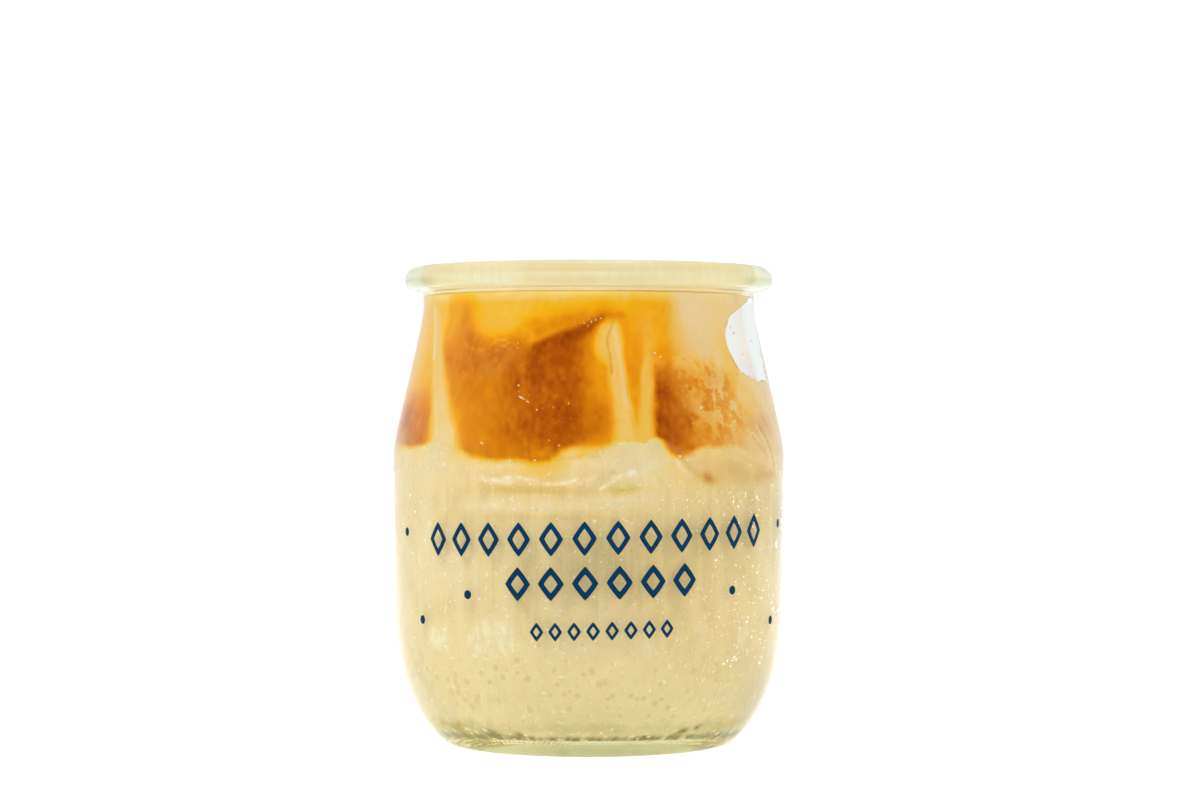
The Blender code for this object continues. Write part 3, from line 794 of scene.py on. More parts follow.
@dataclass(frozen=True)
class WallTones:
    """How deep, milky and curdled the pudding looks all round the glass, and its painted light.

    The two shifts say how far the marks wander, in degrees and in millimetres: everywhere, so
    much more behind, and finely.
    """

    jar: JarForm
    pudding: PuddingForm
    waves: int = 5
    waves_round: tuple[int, int] = (4, 12)
    waves_up: Span = (0.08, 0.3)
    behind: Span = (95.0, 125.0)
    shift_round: Triple = (0.7, 1.6, 0.3)
    shift_up: Triple = (0.3, 0.6, 0.1)
    edge_fade: Span = (-0.3, 0.7)
    edge_rough: float = 0.3
    top_fade: Span = (-2.6, -0.2)
    top_thinning: float = 0.62
    cloud: float = 0.16
    cloudy_depths: Span = (0.05, 0.2)
    finger_milk: float = 0.25
    finger_depths: Span = (0.0, 0.25)
    finger_tip_fade: float = 0.9
    base_ring: Triple = (4.05, 0.3, 0.6)
    # Painted shade at the foot of the wall: the levels over which it fades, and how dark.
    base_shade: Triple = (5.2, 6.8, 0.24)
    curd_levels: Span = (14.0, 20.0)

    def wander(self, angle: Array, level: Array, what: Uneven, fineness: int = 1) -> Array:
        """A slow uneven field from -1 to 1.

        Formula: a few sines, the slower ones larger, whose waves and starts are drawn from a
        seeded generator. Fineness multiplies the waves.
        """
        draw = np.random.default_rng(what.value)
        total, weight = np.zeros(np.broadcast(angle, level).shape), 0.0
        for number in range(self.waves):
            size = 1.0 / (1.0 + 0.5 * number)
            round_waves = draw.integers(*self.waves_round) * (1 + number) * fineness
            round_waves = round_waves * draw.choice((-1, 1))
            up_waves = draw.uniform(*self.waves_up) * (1 + number) * fineness
            start = draw.uniform(0.0, 2.0 * math.pi)
            total += size * np.sin(np.radians(round_waves * angle) + up_waves * level + start)
            weight += size
        return total / weight

    def finger_cover(self, finger: Finger, angle: Array, level: Array) -> Array:
        """How much of a finger of custard shows at each point, from 0 to 1."""
        root = self.pudding.layer_level - self.pudding.finger_root
        share = np.clip((level - root) / (finger.tip_level - root), 0.0, 1.0)
        left = 1.0 - share
        middle = finger.foot_angle + (finger.tip_angle - finger.foot_angle) * share
        middle = middle + finger.smear_shift + finger.smear_lean * left
        width = finger.tip_width * finger.smear_width
        width = width + (finger.foot_width - width) * left**finger.smear_power
        half = np.degrees(0.5 * width / self.jar.inner_radius(level))
        shape = bell(away(angle, middle), half, 4.0)
        low, high = finger.tip_level - finger.smear_fade, finger.tip_level + self.finger_tip_fade
        return shape * (1.0 - smooth(low, high, level))

    def pools(self, angle: Array, height: Array) -> tuple[Array, Array]:
        """The depth and milk of the pools alone, each blended into its neighbours."""
        depth, milk = np.zeros(angle.shape), np.zeros(angle.shape)
        total = np.full(angle.shape, 1e-6)
        for pool, after in zip(POOLS, POOLS[1:] + POOLS[:1]):
            into, past = away(angle, pool.left), away(angle, after.left)
            weight = smooth(-pool.blend, pool.blend, into)
            weight = weight * (1.0 - smooth(-after.blend, after.blend, past))
            weight = weight * (np.abs(into) < QUARTER_TURN) * (np.abs(past) < QUARTER_TURN)
            edge = pool.edge_level + pool.edge_slope * into
            veil = smooth(edge - pool.edge_softness, edge + pool.edge_softness, height)
            depth += weight * (pool.deep + (pool.veil - pool.deep) * veil)
            milk += weight * (pool.deep_milk + (pool.veil_milk - pool.deep_milk) * veil)
            total += weight
        return depth / total, milk / total

    def tones(self, angle: Array, level: Array) -> Marks:
        """The marks of the pudding on the glass.

        Formula: the pools' depth falls towards the custard below and towards the top. The
        washes are laid over them, each by its own cover, then the fingers and their washes.

        Args:
            angle: Degrees round the jar.
            level: Heights in millimetres.

        Returns:
            Depth, milk and curd from 0 to 1, light from -1 to 1, mostly painted highlight and
            shade, and open, which is 0.
        """
        angle, level = np.broadcast_arrays(angle, level)
        behind = smooth(*self.behind, np.abs(away(angle, 0.0)))
        fine = self.wander(angle, level, Uneven.FINE, 3)
        shift, more, finely = self.shift_round
        slow = self.wander(angle, level, Uneven.ANGLE)
        angle = angle + (shift + more * behind) * slow + finely * fine
        shift, more, finely = self.shift_up
        slow = self.wander(angle, level, Uneven.HEIGHT)
        height = level + (shift + more * behind) * slow + finely * fine
        depth, milk = self.pools(angle, height)
        boundary = self.pudding.boundary(angle, self.jar)
        rough = height + self.edge_rough * self.wander(angle, level, Uneven.EDGE, 6)
        depth *= smooth(*self.edge_fade, rough - boundary)
        top = self.pudding.sauce_level + self.pudding.meniscus
        depth *= 1.0 - self.top_thinning * smooth(*self.top_fade, height - top)
        cloud = self.cloud * self.wander(angle, level, Uneven.CLOUD)
        cloud = cloud * (1.0 - smooth(*self.cloudy_depths, depth))
        marks = {"depth": depth, "milk": milk, "light": cloud, "curd": np.zeros_like(depth)}
        self.lay(WASHES, marks, angle, height)
        for finger in self.pudding.fingers:
            cover = self.finger_cover(finger, angle, level)
            cover = cover * smooth(*self.finger_depths, marks["depth"])
            self.blend(marks, Wash(finger.smear_depth, self.finger_milk, curd=0.0), cover)
        self.lay(FINGER_WASHES, marks, angle, height)
        middle, width, dark = self.base_ring
        uneven = 1.0 + self.wander(angle, level, Uneven.BASE_RING, 5)
        marks["light"] = marks["light"] - dark * bell(level - middle, width) * uneven
        # Painted shade: darker at the foot of the wall, just above the glass floor.
        low, high, dark = self.base_shade
        band = smooth(low, high, level + 0.5 * self.wander(angle, level, Uneven.BASE_SHADE, 2))
        marks["light"] = marks["light"] - dark * (1.0 - band)
        heel = smooth(*self.curd_levels, level + 3.0 * self.wander(angle, level, Uneven.CURD))
        marks["curd"] = np.maximum(marks["curd"], 1.0 - heel)
        lowest = {"light": -1.0}
        for name, values in marks.items():
            marks[name] = np.clip(values, lowest.get(name, 0.0), 1.0)
        return marked(level, **marks)

    def lay(self, washes: tuple, marks: Marks, angle: Array, level: Array) -> None:
        """Lays the washes over the marks, one after another."""
        for item in washes:
            self.blend(marks, item.wash, item.wash.strength * item.cover(angle, level))

    def blend(self, marks: Marks, wash: Wash, cover: Array) -> None:
        """Draws each mark towards the wash by its cover."""
        for name in marks:
            aim = getattr(wash, name)
            if aim is not None:
                marks[name] = marks[name] + (aim - marks[name]) * cover


class Kit:
    """Adds shader nodes to one tree, and links them."""

    def __init__(self, tree: Tree) -> None:
        """Works on the tree that is given."""
        self.tree = tree

    def feed(self, node: Node, **inputs: Feed) -> None:
        """Links outputs to a node's inputs, or sets plain values on them.

        Args:
            node: The node.
            inputs: Values or outputs by input name, with _ for a space, or by i0, i1.
        """
        for key, value in inputs.items():
            numbered = key[0] == "i" and key[1:].isdigit()
            socket = node.inputs[int(key[1:]) if numbered else key.replace("_", " ")]
            if isinstance(value, Socket):
                self.tree.links.new(value, socket)
            else:
                socket.default_value = (*value, 1.0) if socket.type == "RGBA" else value

    def add(self, kind: str, settings: dict | None = None, **inputs: Feed) -> Node:
        """Adds a node.

        Args:
            kind: The node's type, such as ShaderNodeMath.
            settings: Properties to set on the node.
            inputs: What it is fed.

        Returns:
            The node.
        """
        node = self.tree.nodes.new(kind)
        for key, value in (settings or {}).items():
            setattr(node, key, value)
        self.feed(node, **inputs)
        return node

    def math(self, operation: str, *values: Feed, clamp: bool = False) -> Socket:
        """The result of a math node on the values or sockets that are given."""
        inputs = {f"i{number}": value for number, value in enumerate(values)}
        settings = {"operation": operation, "use_clamp": clamp}
        return self.add("ShaderNodeMath", settings, **inputs).outputs[0]

    def mix(self, share: Feed, first: Feed, second: Feed) -> Socket:
        """Two colours mixed by a share."""
        node = self.add("ShaderNodeMix", {"data_type": "RGBA"}, i0=share, i6=first, i7=second)
        return node.outputs[2]

    def step(
        self, value: Socket, low: float, high: float, first: Feed = 0.0, last: Feed = 1.0
    ) -> Socket:
        """A soft step from the first number to the last, as the value goes from low to high."""
        ends = {"i1": low, "i2": high, "i3": first, "i4": last}
        settings = {"interpolation_type": "SMOOTHSTEP"}
        return self.add("ShaderNodeMapRange", settings, i0=value, **ends).outputs[0]

    def ramp(self, share: Socket, stops: tuple[tuple[float, Colour], ...]) -> Socket:
        """A colour ramp with the stops that are given, straight between them."""
        node = self.add("ShaderNodeValToRGB", Fac=share)
        band = node.color_ramp
        band.interpolation = "LINEAR"
        while len(band.elements) < len(stops):
            band.elements.new(0.5)
        for element, (place, colour) in zip(band.elements, stops):
            element.position = place
            element.color = (*colour, 1.0)
        return node.outputs["Color"]

    def place(self, flat: float = 1.0) -> Socket:
        """The piece's own coordinates in metres, with the height flattened by a factor."""
        where = self.add("ShaderNodeTexCoord").outputs["Object"]
        return self.add("ShaderNodeMapping", Vector=where, Scale=(1.0, 1.0, flat)).outputs[0]

    def noise(
        self, where: Socket, per_metre: float, detail: float = 3.0, rough: float = 0.55
    ) -> Socket:
        """Noise from 0 to 1 with so many cells to the metre."""
        inputs = {"Vector": where, "Scale": per_metre, "Detail": detail, "Roughness": rough}
        return self.add("ShaderNodeTexNoise", **inputs).outputs["Fac"]

    def attribute(self, name: str) -> Socket:
        """A mark of the mesh, as a number."""
        settings = {"attribute_name": name, "attribute_type": "GEOMETRY"}
        return self.add("ShaderNodeAttribute", settings).outputs["Fac"]


class Effect(Enum):
    """The shader node groups that more than one finish uses."""

    TONES = "pudding_tones"
    SPECKLE = "fine_speckle"
    RELIEF = "uneven_relief"


# The colours of painted highlight and painted shade, towards which the light mark draws.
PAINTED_HIGHLIGHT: Colour = (0.97, 0.87, 0.70)
PAINTED_SHADE: Colour = (0.28, 0.21, 0.065)

DEEP_TONES = (
    (0.0, (0.865, 0.67, 0.365)),
    (0.12, (0.92, 0.635, 0.21)),
    (0.24, (0.92, 0.54, 0.055)),
    (0.36, (0.92, 0.485, 0.006)),
    (0.46, (0.90, 0.375, 0.003)),
    (0.58, (0.79, 0.28, 0.002)),
    (0.70, (0.66, 0.19, 0.001)),
    (0.86, (0.44, 0.086, 0.0006)),
    (1.0, (0.25, 0.045, 0.0004)),
)

MILKY_TONES = (
    (0.0, (0.865, 0.67, 0.365)),
    (0.15, (0.85, 0.635, 0.36)),
    (0.3, (0.80, 0.555, 0.26)),
    (0.5, (0.71, 0.38, 0.13)),
    (0.7, (0.58, 0.24, 0.045)),
    (0.85, (0.46, 0.14, 0.015)),
    (1.0, (0.30, 0.075, 0.005)),
)


@dataclass(frozen=True)
class Relief:
    """How uneven a surface is, with its swells and its grain counted to the metre."""

    strength: float
    depth: float
    slow: float
    fine: float
    share_of_fine: float


class Effects:
    """Builds each shared shader node group once."""

    def __init__(self) -> None:
        """Builds the groups."""
        self.groups = {
            Effect.TONES: self.make_tones(),
            Effect.SPECKLE: self.make_speckle(),
            Effect.RELIEF: self.make_relief(),
        }

    def use(self, kit: Kit, effect: Effect, **inputs: Feed) -> Node:
        """Places an effect's group in a material, with its own values or sockets."""
        node = kit.add("ShaderNodeGroup", {"node_tree": self.groups[effect]})
        kit.feed(node, **inputs)
        return node

    def roughen(self, kit: Kit, shader: Node, form: Relief) -> None:
        """Gives a shader an uneven surface from the relief group."""
        sizes = {"Slow": form.slow, "Fine": form.fine, "Share_of_Fine": form.share_of_fine}
        height = self.use(kit, Effect.RELIEF, **sizes).outputs["Height"]
        bump = kit.add("ShaderNodeBump", Strength=form.strength, Distance=form.depth, Height=height)
        kit.feed(shader, Normal=bump.outputs[0])

    def start(self, effect: Effect, inputs: dict[str, float], outputs: dict[str, str]) -> tuple:
        """A new group with its sockets.

        Args:
            effect: The effect that the group is for.
            inputs: Each input number's name and usual value.
            outputs: Each output's name and socket type.

        Returns:
            A Kit on its tree, its input node's outputs and its output node.
        """
        tree = bpy.data.node_groups.new(effect.value, "ShaderNodeTree")
        for key, value in inputs.items():
            socket = tree.interface.new_socket(key, in_out="INPUT", socket_type="NodeSocketFloat")
            socket.default_value = value
        for key, kind in outputs.items():
            tree.interface.new_socket(key, in_out="OUTPUT", socket_type=kind)
        kit = Kit(tree)
        return kit, kit.add("NodeGroupInput").outputs, kit.add("NodeGroupOutput")

    def make_tones(self) -> Tree:
        """The pudding's colour by depth, milk, light and curd.

        Grain shifts the depth with cloudy, fine and dusty noise. Curd lets sharp pale islands
        with bright shores float in the caramel. Light is painted light: above nought it draws the
        colour towards a painted highlight, broken up by the flecks, and below it towards brown
        painted shade. Haze adds pale upright wisps, and painted sparkles, where the depth is small.
        """
        inputs = dict.fromkeys(("Depth", "Milk", "Light", "Curd", "Grain", "Haze", "Broken"), 0.0)
        outputs = {"Color": "NodeSocketColor", "Depth": "NodeSocketFloat"}
        kit, given, made = self.start(Effect.TONES, inputs, outputs)
        where = kit.place()
        clouds = kit.noise(where, 260.0, 5.0, 0.62)
        flecks = kit.noise(kit.place(0.6), 950.0, 3.0, 0.6)
        dust = kit.noise(where, 2600.0, 2.0, 0.7)
        islands = kit.noise(kit.place(0.8), 430.0, 5.0, 0.62)
        wisps = kit.noise(kit.place(0.12), 420.0, 4.0, 0.62)
        sparkle = kit.noise(where, 1300.0, 1.0, 0.5)
        parts = [
            kit.math("MULTIPLY_ADD", noise, weight, -0.5 * weight)
            for noise, weight in ((clouds, 1.3), (flecks, 1.5), (dust, 1.2))
        ]
        noises = kit.math("ADD", kit.math("ADD", parts[0], parts[1]), parts[2])
        held = kit.math("MULTIPLY_ADD", given["Depth"], 1.2, 0.12)
        held = kit.math("MULTIPLY", kit.math("MULTIPLY", noises, given["Grain"]), held)
        curd = kit.math("MULTIPLY", kit.step(islands, 0.485, 0.52), given["Curd"])
        shore = kit.math("ABSOLUTE", kit.math("SUBTRACT", islands, 0.48))
        line = kit.math("MULTIPLY", kit.step(shore, 0.012, 0.0), given["Curd"])
        depth = kit.math("ADD", given["Depth"], held)
        depth = kit.math("MULTIPLY_ADD", curd, -0.36, depth)
        depth = kit.math("MULTIPLY_ADD", line, -0.26, depth, clamp=True)
        milk = kit.math("MULTIPLY_ADD", curd, 0.6, given["Milk"], clamp=True)
        colour = kit.mix(milk, kit.ramp(depth, DEEP_TONES), kit.ramp(depth, MILKY_TONES))
        haze = kit.math("MAXIMUM", kit.math("SUBTRACT", wisps, 0.47), 0.0)
        haze = kit.math("MULTIPLY", haze, given["Haze"])
        haze = kit.math("MULTIPLY", haze, kit.math("SUBTRACT", 1.0, given["Curd"]))
        # Painted sparkles: small highlights where the sparkle noise is high.
        sparks = kit.math("MULTIPLY", kit.step(sparkle, 0.66, 0.74), given["Haze"])
        haze = kit.math("MULTIPLY_ADD", sparks, 0.8, haze)
        haze = kit.math("MULTIPLY_ADD", noises, 0.12, haze)
        haze = kit.math("MULTIPLY", haze, kit.step(depth, 0.2, 0.03))
        broken = kit.math("SUBTRACT", kit.step(flecks, 0.38, 0.62, 0.3, 1.2), 0.85)
        broken = kit.math("ADD", kit.math("MULTIPLY", broken, given["Broken"]), 0.85)
        # The light mark paints a highlight above nought and shade below it.
        bright = kit.math("MAXIMUM", given["Light"], 0.0)
        dark = kit.math("MINIMUM", given["Light"], 0.0)
        light = kit.math("ADD", kit.math("MULTIPLY_ADD", bright, broken, haze), dark)
        duller = kit.math("MAXIMUM", kit.math("MULTIPLY", light, -1.0), 0.0)
        colour = kit.mix(kit.math("MAXIMUM", light, 0.0, clamp=True), colour, PAINTED_HIGHLIGHT)
        kit.feed(made, Color=kit.mix(duller, colour, PAINTED_SHADE), Depth=depth)
        return kit.tree

    def make_speckle(self) -> Tree:
        """A mask of fine specks: Amount says how many, and Cells how many to the metre."""
        inputs, outputs = {"Amount": 0.1, "Cells": 900.0}, {"Mask": "NodeSocketFloat"}
        kit, given, made = self.start(Effect.SPECKLE, inputs, outputs)
        cells = kit.add("ShaderNodeTexVoronoi", Vector=kit.place(), Scale=given["Cells"])
        patchy = kit.noise(kit.place(), 160.0, 2.0)
        limit = kit.math("MULTIPLY", given["Amount"], patchy)
        near = kit.math("SUBTRACT", limit, cells.outputs["Distance"])
        kit.feed(made, Mask=kit.math("MULTIPLY", near, 9.0, clamp=True))
        return kit.tree

    def make_relief(self) -> Tree:
        """Heights for a bump, from slow swells and fine grain of the sizes that are given."""
        inputs = {"Slow": 120.0, "Fine": 900.0, "Share of Fine": 0.3}
        kit, given, made = self.start(Effect.RELIEF, inputs, {"Height": "NodeSocketFloat"})
        settings = {"Vector": kit.place(), "Detail": 2.0}
        slow, fine = (
            kit.add("ShaderNodeTexNoise", Scale=given[size], **settings).outputs["Fac"]
            for size in ("Slow", "Fine")
        )
        fine = kit.math("MULTIPLY", fine, given["Share of Fine"])
        kit.feed(made, Height=kit.math("ADD", slow, fine))
        return kit.tree


def principled(name: str, **values: float | tuple) -> tuple[Material, Kit, Node]:
    """A material with one Principled shader.

    Args:
        name: The material's name.
        values: Plain values for the shader's inputs, with _ for a space.

    Returns:
        The material, a Kit on its tree and the shader node.
    """
    material = bpy.data.materials.new(name)
    material.use_nodes = True
    kit, shader = Kit(material.node_tree), material.node_tree.nodes["Principled BSDF"]
    kit.feed(shader, **values)
    return material, kit, shader


@dataclass(frozen=True)
class GlassFinish:
    """Pressed soda glass with a faint green tint and light smudges."""

    ior: float = 1.5
    tint: Colour = (0.16, 0.88, 0.58)
    tint_per_metre: float = 18.0
    smudge: float = 0.035
    clean_below: float = 0.52
    mirror: Colour = (0.06, 0.06, 0.06)
    shaded: Colour = (0.60, 0.64, 0.54)
    relief: Relief = Relief(0.12, 0.0004, 110.0, 400.0, 0.08)

    def build(self, effects: Effects) -> Material:
        """The glass material, which lets light through in shadow rays."""
        material, kit, shader = principled(
            "jar_glass", IOR=self.ior, Transmission_Weight=1.0, Specular_Tint=self.mirror
        )
        marks = effects.use(kit, Effect.RELIEF, Slow=90.0, Fine=700.0, Share_of_Fine=0.2)
        spread = kit.math("SUBTRACT", marks.outputs["Height"], self.clean_below, clamp=True)
        kit.feed(
            shader,
            Base_Color=kit.mix(kit.attribute("shade"), WHITE, self.shaded),
            Roughness=kit.math("MULTIPLY", spread, self.smudge),
        )
        effects.roughen(kit, shader, self.relief)
        volume = kit.add("ShaderNodeVolumeAbsorption", Color=self.tint, Density=self.tint_per_metre)
        shadow = kit.add("ShaderNodeLightPath").outputs["Is Shadow Ray"]
        clear = kit.add("ShaderNodeBsdfTransparent").outputs[0]
        lit = kit.add("ShaderNodeMixShader", i0=shadow, i1=shader.outputs[0], i2=clear)
        output = kit.tree.nodes["Material Output"]
        kit.feed(output, Surface=lit.outputs[0], Volume=volume.outputs[0])
        return material


@dataclass(frozen=True)
class PuddingFinish:
    """Custard or caramel, coloured by its mesh's marks.

    Attributes:
        name: The material's name.
        roughness: How rough it is where shallow.
        grain: How much noise shifts the depth.
        speck_colour: The fine specks' colour.
        specks: How many, and how many more where there is curd.
        cells: How many would fit to the metre.
        scatter: How much light goes in and out again.
        gloss: How wet the open surface looks.
        haze: How strong the wisps and the painted sparkles are.
        broken: How much the flecks break up the painted highlights.
    """

    name: str
    roughness: float
    grain: float
    speck_colour: Colour
    specks: Span = (0.0, 0.0)
    cells: float = 900.0
    scatter: float = 0.0
    gloss: float = 0.0
    haze: float = 0.0
    broken: float = 1.0
    scatter_by_colour: Colour = (1.0, 0.55, 0.2)
    scatter_metres: float = 0.0012
    specular: float = 0.02
    coat_roughness: float = 0.08
    smoother_when_deep: float = 0.12
    relief: Relief = Relief(0.25, 0.0005, 300.0, 1500.0, 0.3)

    def build(self, effects: Effects) -> Material:
        """The material."""
        material, kit, shader = principled(
            self.name,
            Specular_IOR_Level=self.specular,
            Subsurface_Weight=self.scatter,
            Subsurface_Radius=self.scatter_by_colour,
            Subsurface_Scale=self.scatter_metres,
            Coat_Roughness=self.coat_roughness,
        )
        marks = {name.title(): kit.attribute(name) for name in TONE_MARKS}
        tones = effects.use(
            kit, Effect.TONES, **marks, Grain=self.grain, Haze=self.haze, Broken=self.broken
        )
        few, more = self.specks
        amount = kit.math("MULTIPLY_ADD", kit.attribute("curd"), more, few)
        specks = effects.use(kit, Effect.SPECKLE, Amount=amount, Cells=self.cells)
        depth = tones.outputs["Depth"]
        rough = kit.math("MULTIPLY_ADD", depth, -self.smoother_when_deep, self.roughness)
        kit.feed(
            shader,
            Base_Color=kit.mix(specks.outputs["Mask"], tones.outputs["Color"], self.speck_colour),
            Roughness=rough,
            Coat_Weight=kit.math("MULTIPLY", kit.attribute("open"), self.gloss),
        )
        effects.roughen(kit, shader, self.relief)
        return material


@dataclass(frozen=True)
class InkFinish:
    """Fired navy print with fine pinholes."""

    colour: Colour = (0.0004, 0.027, 0.072)
    worn: Colour = (0.004, 0.050, 0.11)
    roughness: float = 0.5
    specular: float = 0.03
    relief: Relief = Relief(0.1, 0.0001, 900.0, 4000.0, 0.4)

    def build(self, effects: Effects) -> Material:
        """The ink material."""
        material, kit, shader = principled(
            "navy_print", Roughness=self.roughness, Specular_IOR_Level=self.specular
        )
        specks = effects.use(kit, Effect.SPECKLE, Amount=0.35, Cells=2600.0)
        kit.feed(shader, Base_Color=kit.mix(specks.outputs["Mask"], self.colour, self.worn))
        effects.roughen(kit, shader, self.relief)
        return material


@dataclass(frozen=True)
class WaterFinish:
    """Clear water of the small beads on the outside."""

    ior: float = 1.33
    relief: Relief = Relief(0.05, 0.0001, 800.0, 3000.0, 0.2)

    def build(self, effects: Effects) -> Material:
        """The water material."""
        material, kit, shader = principled(
            "water_beads", Base_Color=WHITE, IOR=self.ior, Transmission_Weight=1.0, Roughness=0.0
        )
        effects.roughen(kit, shader, self.relief)
        return material


@dataclass
class GlassJar:
    """The pressed glass jar, turned in one piece."""

    form: JarForm
    finish: GlassFinish = GlassFinish()
    columns: int = 192
    floor_rows: int = 8
    shade_level: float = 76.8
    shade_width: float = 1.0
    shade_from: Span = (50.0, 62.0)
    shade_to: Span = (118.0, 130.0)

    def outline(self) -> Array:
        """The closed outline from the floor's middle, over the rim and down to the punt's."""
        form = self.form
        floor = np.linspace(0.0, form.floor_radius, self.floor_rows)[:-1]
        floor = np.stack([floor, np.full_like(floor, form.floor_level)], axis=1)
        inside, rim = form.inner_wall(22), form.rim(9)
        lip = np.stack([rim[0] + (inside[-1] - rim[0]) * t for t in (0.66, 0.33)])
        flat = np.linspace(form.foot_radius, form.foot_radius - form.foot_land, 4)[1:-1]
        land = np.stack([flat, np.zeros_like(flat)], axis=1)
        return np.concatenate([floor, inside, lip, rim, form.outer_wall(22), land, form.foot(10)])

    def build(self, effects: Effects) -> Piece:
        """Makes the jar.

        Formula: each point of the outline is carried round the axis. The hollow under the
        bead is marked as shaded at both sides, where it turns the light away.
        """
        angle = even_angles(self.columns)
        radius, level = np.split(self.outline(), 2, axis=1)
        aside = np.abs(away(angle, 0.0))
        sides = smooth(*self.shade_from, aside) * (1.0 - smooth(*self.shade_to, aside))
        outside = smooth(-0.4, 0.0, radius - self.form.neck_radius)
        shade = bell(level - self.shade_level, self.shade_width, 4.0) * outside * sides
        points = round_points(radius, angle, level)
        shell = Shell(points, {"shade": shade}, inside_out=True)
        piece = make_piece("glass_jar", [shell], self.finish.build(effects))
        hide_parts("jar")
        return piece


@dataclass
class Custard:
    """The pale layer with its core, its swirl and its fingers.

    The underside's painted highlight rings are given by their radius and width, and its dull
    edge by the radii between which it begins, and by the angles where it does on the left and
    on the right.
    """

    jar: JarForm
    form: PuddingForm
    tones: WallTones
    finish: PuddingFinish
    columns: int = 480
    wall_rows: int = 100
    crowding: float = 1.5
    shelf_rows: int = 9
    top_rows: int = 34
    crisp: float = 0.08
    heel_share: Span = (0.15, 0.6)
    floor_radii: Span = (15.0, 16.0)
    # Painted highlight rings on the underside: the radius and width of each.
    rings: tuple[Span, Span] = ((20.9, 0.22), (19.3, 0.3))
    dull_radii: Span = (17.4, 18.8)
    dull_from: Span = (26.0, 40.0)
    dull_run: float = 18.0
    dull_depth: float = 0.14
    pale_place: Span = (26.0, 20.0)
    syrup: Span = (0.24, 0.16)
    top_milk: float = 0.3
    top_light: float = 0.2

    def body(self) -> Shell:
        """The lower layer with the core that rises from it.

        Formula: a profile of rows runs out along the glass floor, up the wall to the boundary,
        back in under the caramel, up the core's flank and over the swirl to its middle. The
        rows' middle moves from the jar's axis to the core's on the way.
        """
        angle, jar, form = even_angles(self.columns), self.jar, self.form
        edge = form.boundary(angle, jar)
        inner, outer = self.floor_radii
        floor = np.append(np.linspace(0.0, inner, 5), np.linspace(outer, jar.floor_radius, 22)[:-1])
        floor = floor[:, None] + np.zeros_like(angle)
        floor_level = jar.floor_level - form.bite
        radius, level = self.wall(edge, angle)
        share = np.linspace(1.0, 0.0, self.shelf_rows)[1:, None]
        share = np.insert(share, 0, 1.0 - self.crisp / form.core_radius, axis=0)
        reach = form.core_foot_radius + (radius[-1:] - form.core_foot_radius) * share
        shelf = form.shelf(reach, edge, jar) - form.shelf_sink * smooth(0.0, 0.3, 1.0 - share)
        foot = (form.core_foot_radius, form.layer_level - form.shelf_sink)
        flank = form.flank(foot, 0.0, (form.core_radius, form.sauce_level))
        flank = flank[:, :, None] + np.zeros_like(angle)
        disc = np.linspace(1.0, 0.0, self.top_rows)[1:, None] + np.zeros_like(angle)
        swirl = form.swirl(disc, angle)
        stretches = (
            (floor, floor_level, 0.0),
            (radius, level, 0.0),
            (reach, shelf, 1.0 - share),
            (flank[:, 0], flank[:, 1], 1.0),
            (disc * form.core_radius, swirl, 1.0),
        )
        centre = np.array([*form.core_centre, 0.0])
        points = [
            round_points(out, angle, up) + np.expand_dims(moved, -1) * centre
            for out, up, moved in stretches
        ]
        in_groove, at_edge = self.syrup
        groove = form.swirl(disc, angle + HALF_TURN) - swirl
        syrup = in_groove * smooth(0.05, 0.5, groove) * np.sin(math.pi * disc) + at_edge * disc**5
        dull = self.dull_depth * self.dull_edge(floor, angle)
        light = self.top_light - 0.5 * syrup
        marks = [
            marked(floor, depth=dull, light=self.underside_light(floor, angle)),
            self.tones.tones(angle, level),
            marked(reach),
            marked(flank[:, 0]),
            marked(disc, depth=syrup, milk=self.top_milk, light=light, open=1.0),
        ]
        return Shell(np.concatenate(points), stacked(marks))

    def wall(self, edge: Array, angle: Array) -> tuple[Array, Array]:
        """The rows up the glass.

        Formula: the rows follow the glass's own curve round its heel, and then rise to the
        edge, closer together towards it, with a small last step.

        Args:
            edge: The level of the layer's edge.
            angle: Degrees round the jar.

        Returns:
            Each point's radius and level.
        """
        jar, form = self.jar, self.form
        heel = respaced(jar.inner_wall(60)[:60], 28)
        share = 1.0 - (1.0 - np.linspace(0.0, 1.0, self.wall_rows)[:, None]) ** self.crowding
        last = 1.0 - self.crisp / (form.layer_level - jar.floor_level)
        share = np.append(share * last, [[1.0]], axis=0)
        rise = jar.floor_level + (edge - jar.floor_level) * share
        low = np.interp(share, np.linspace(0.0, 1.0, len(heel)), heel[:, 1])
        blend = smooth(*self.heel_share, share)
        level = np.minimum(low * (1.0 - blend) + rise * blend, edge)
        radius = form.skin(angle, level, jar)
        level[0] = jar.floor_level - form.bite
        return radius, level

    def dull_edge(self, radius: Array, angle: Array) -> Array:
        """How far a point lies in the duller outer edge of the underside, at the sides."""
        aside = np.minimum(np.abs(away(angle, 0.0)), np.abs(away(angle, HALF_TURN)))
        left, right = self.dull_from
        start = np.where(away(angle, 0.0) > 0.0, right, left)
        return smooth(*self.dull_radii, radius) * smooth(start, start + self.dull_run, aside)

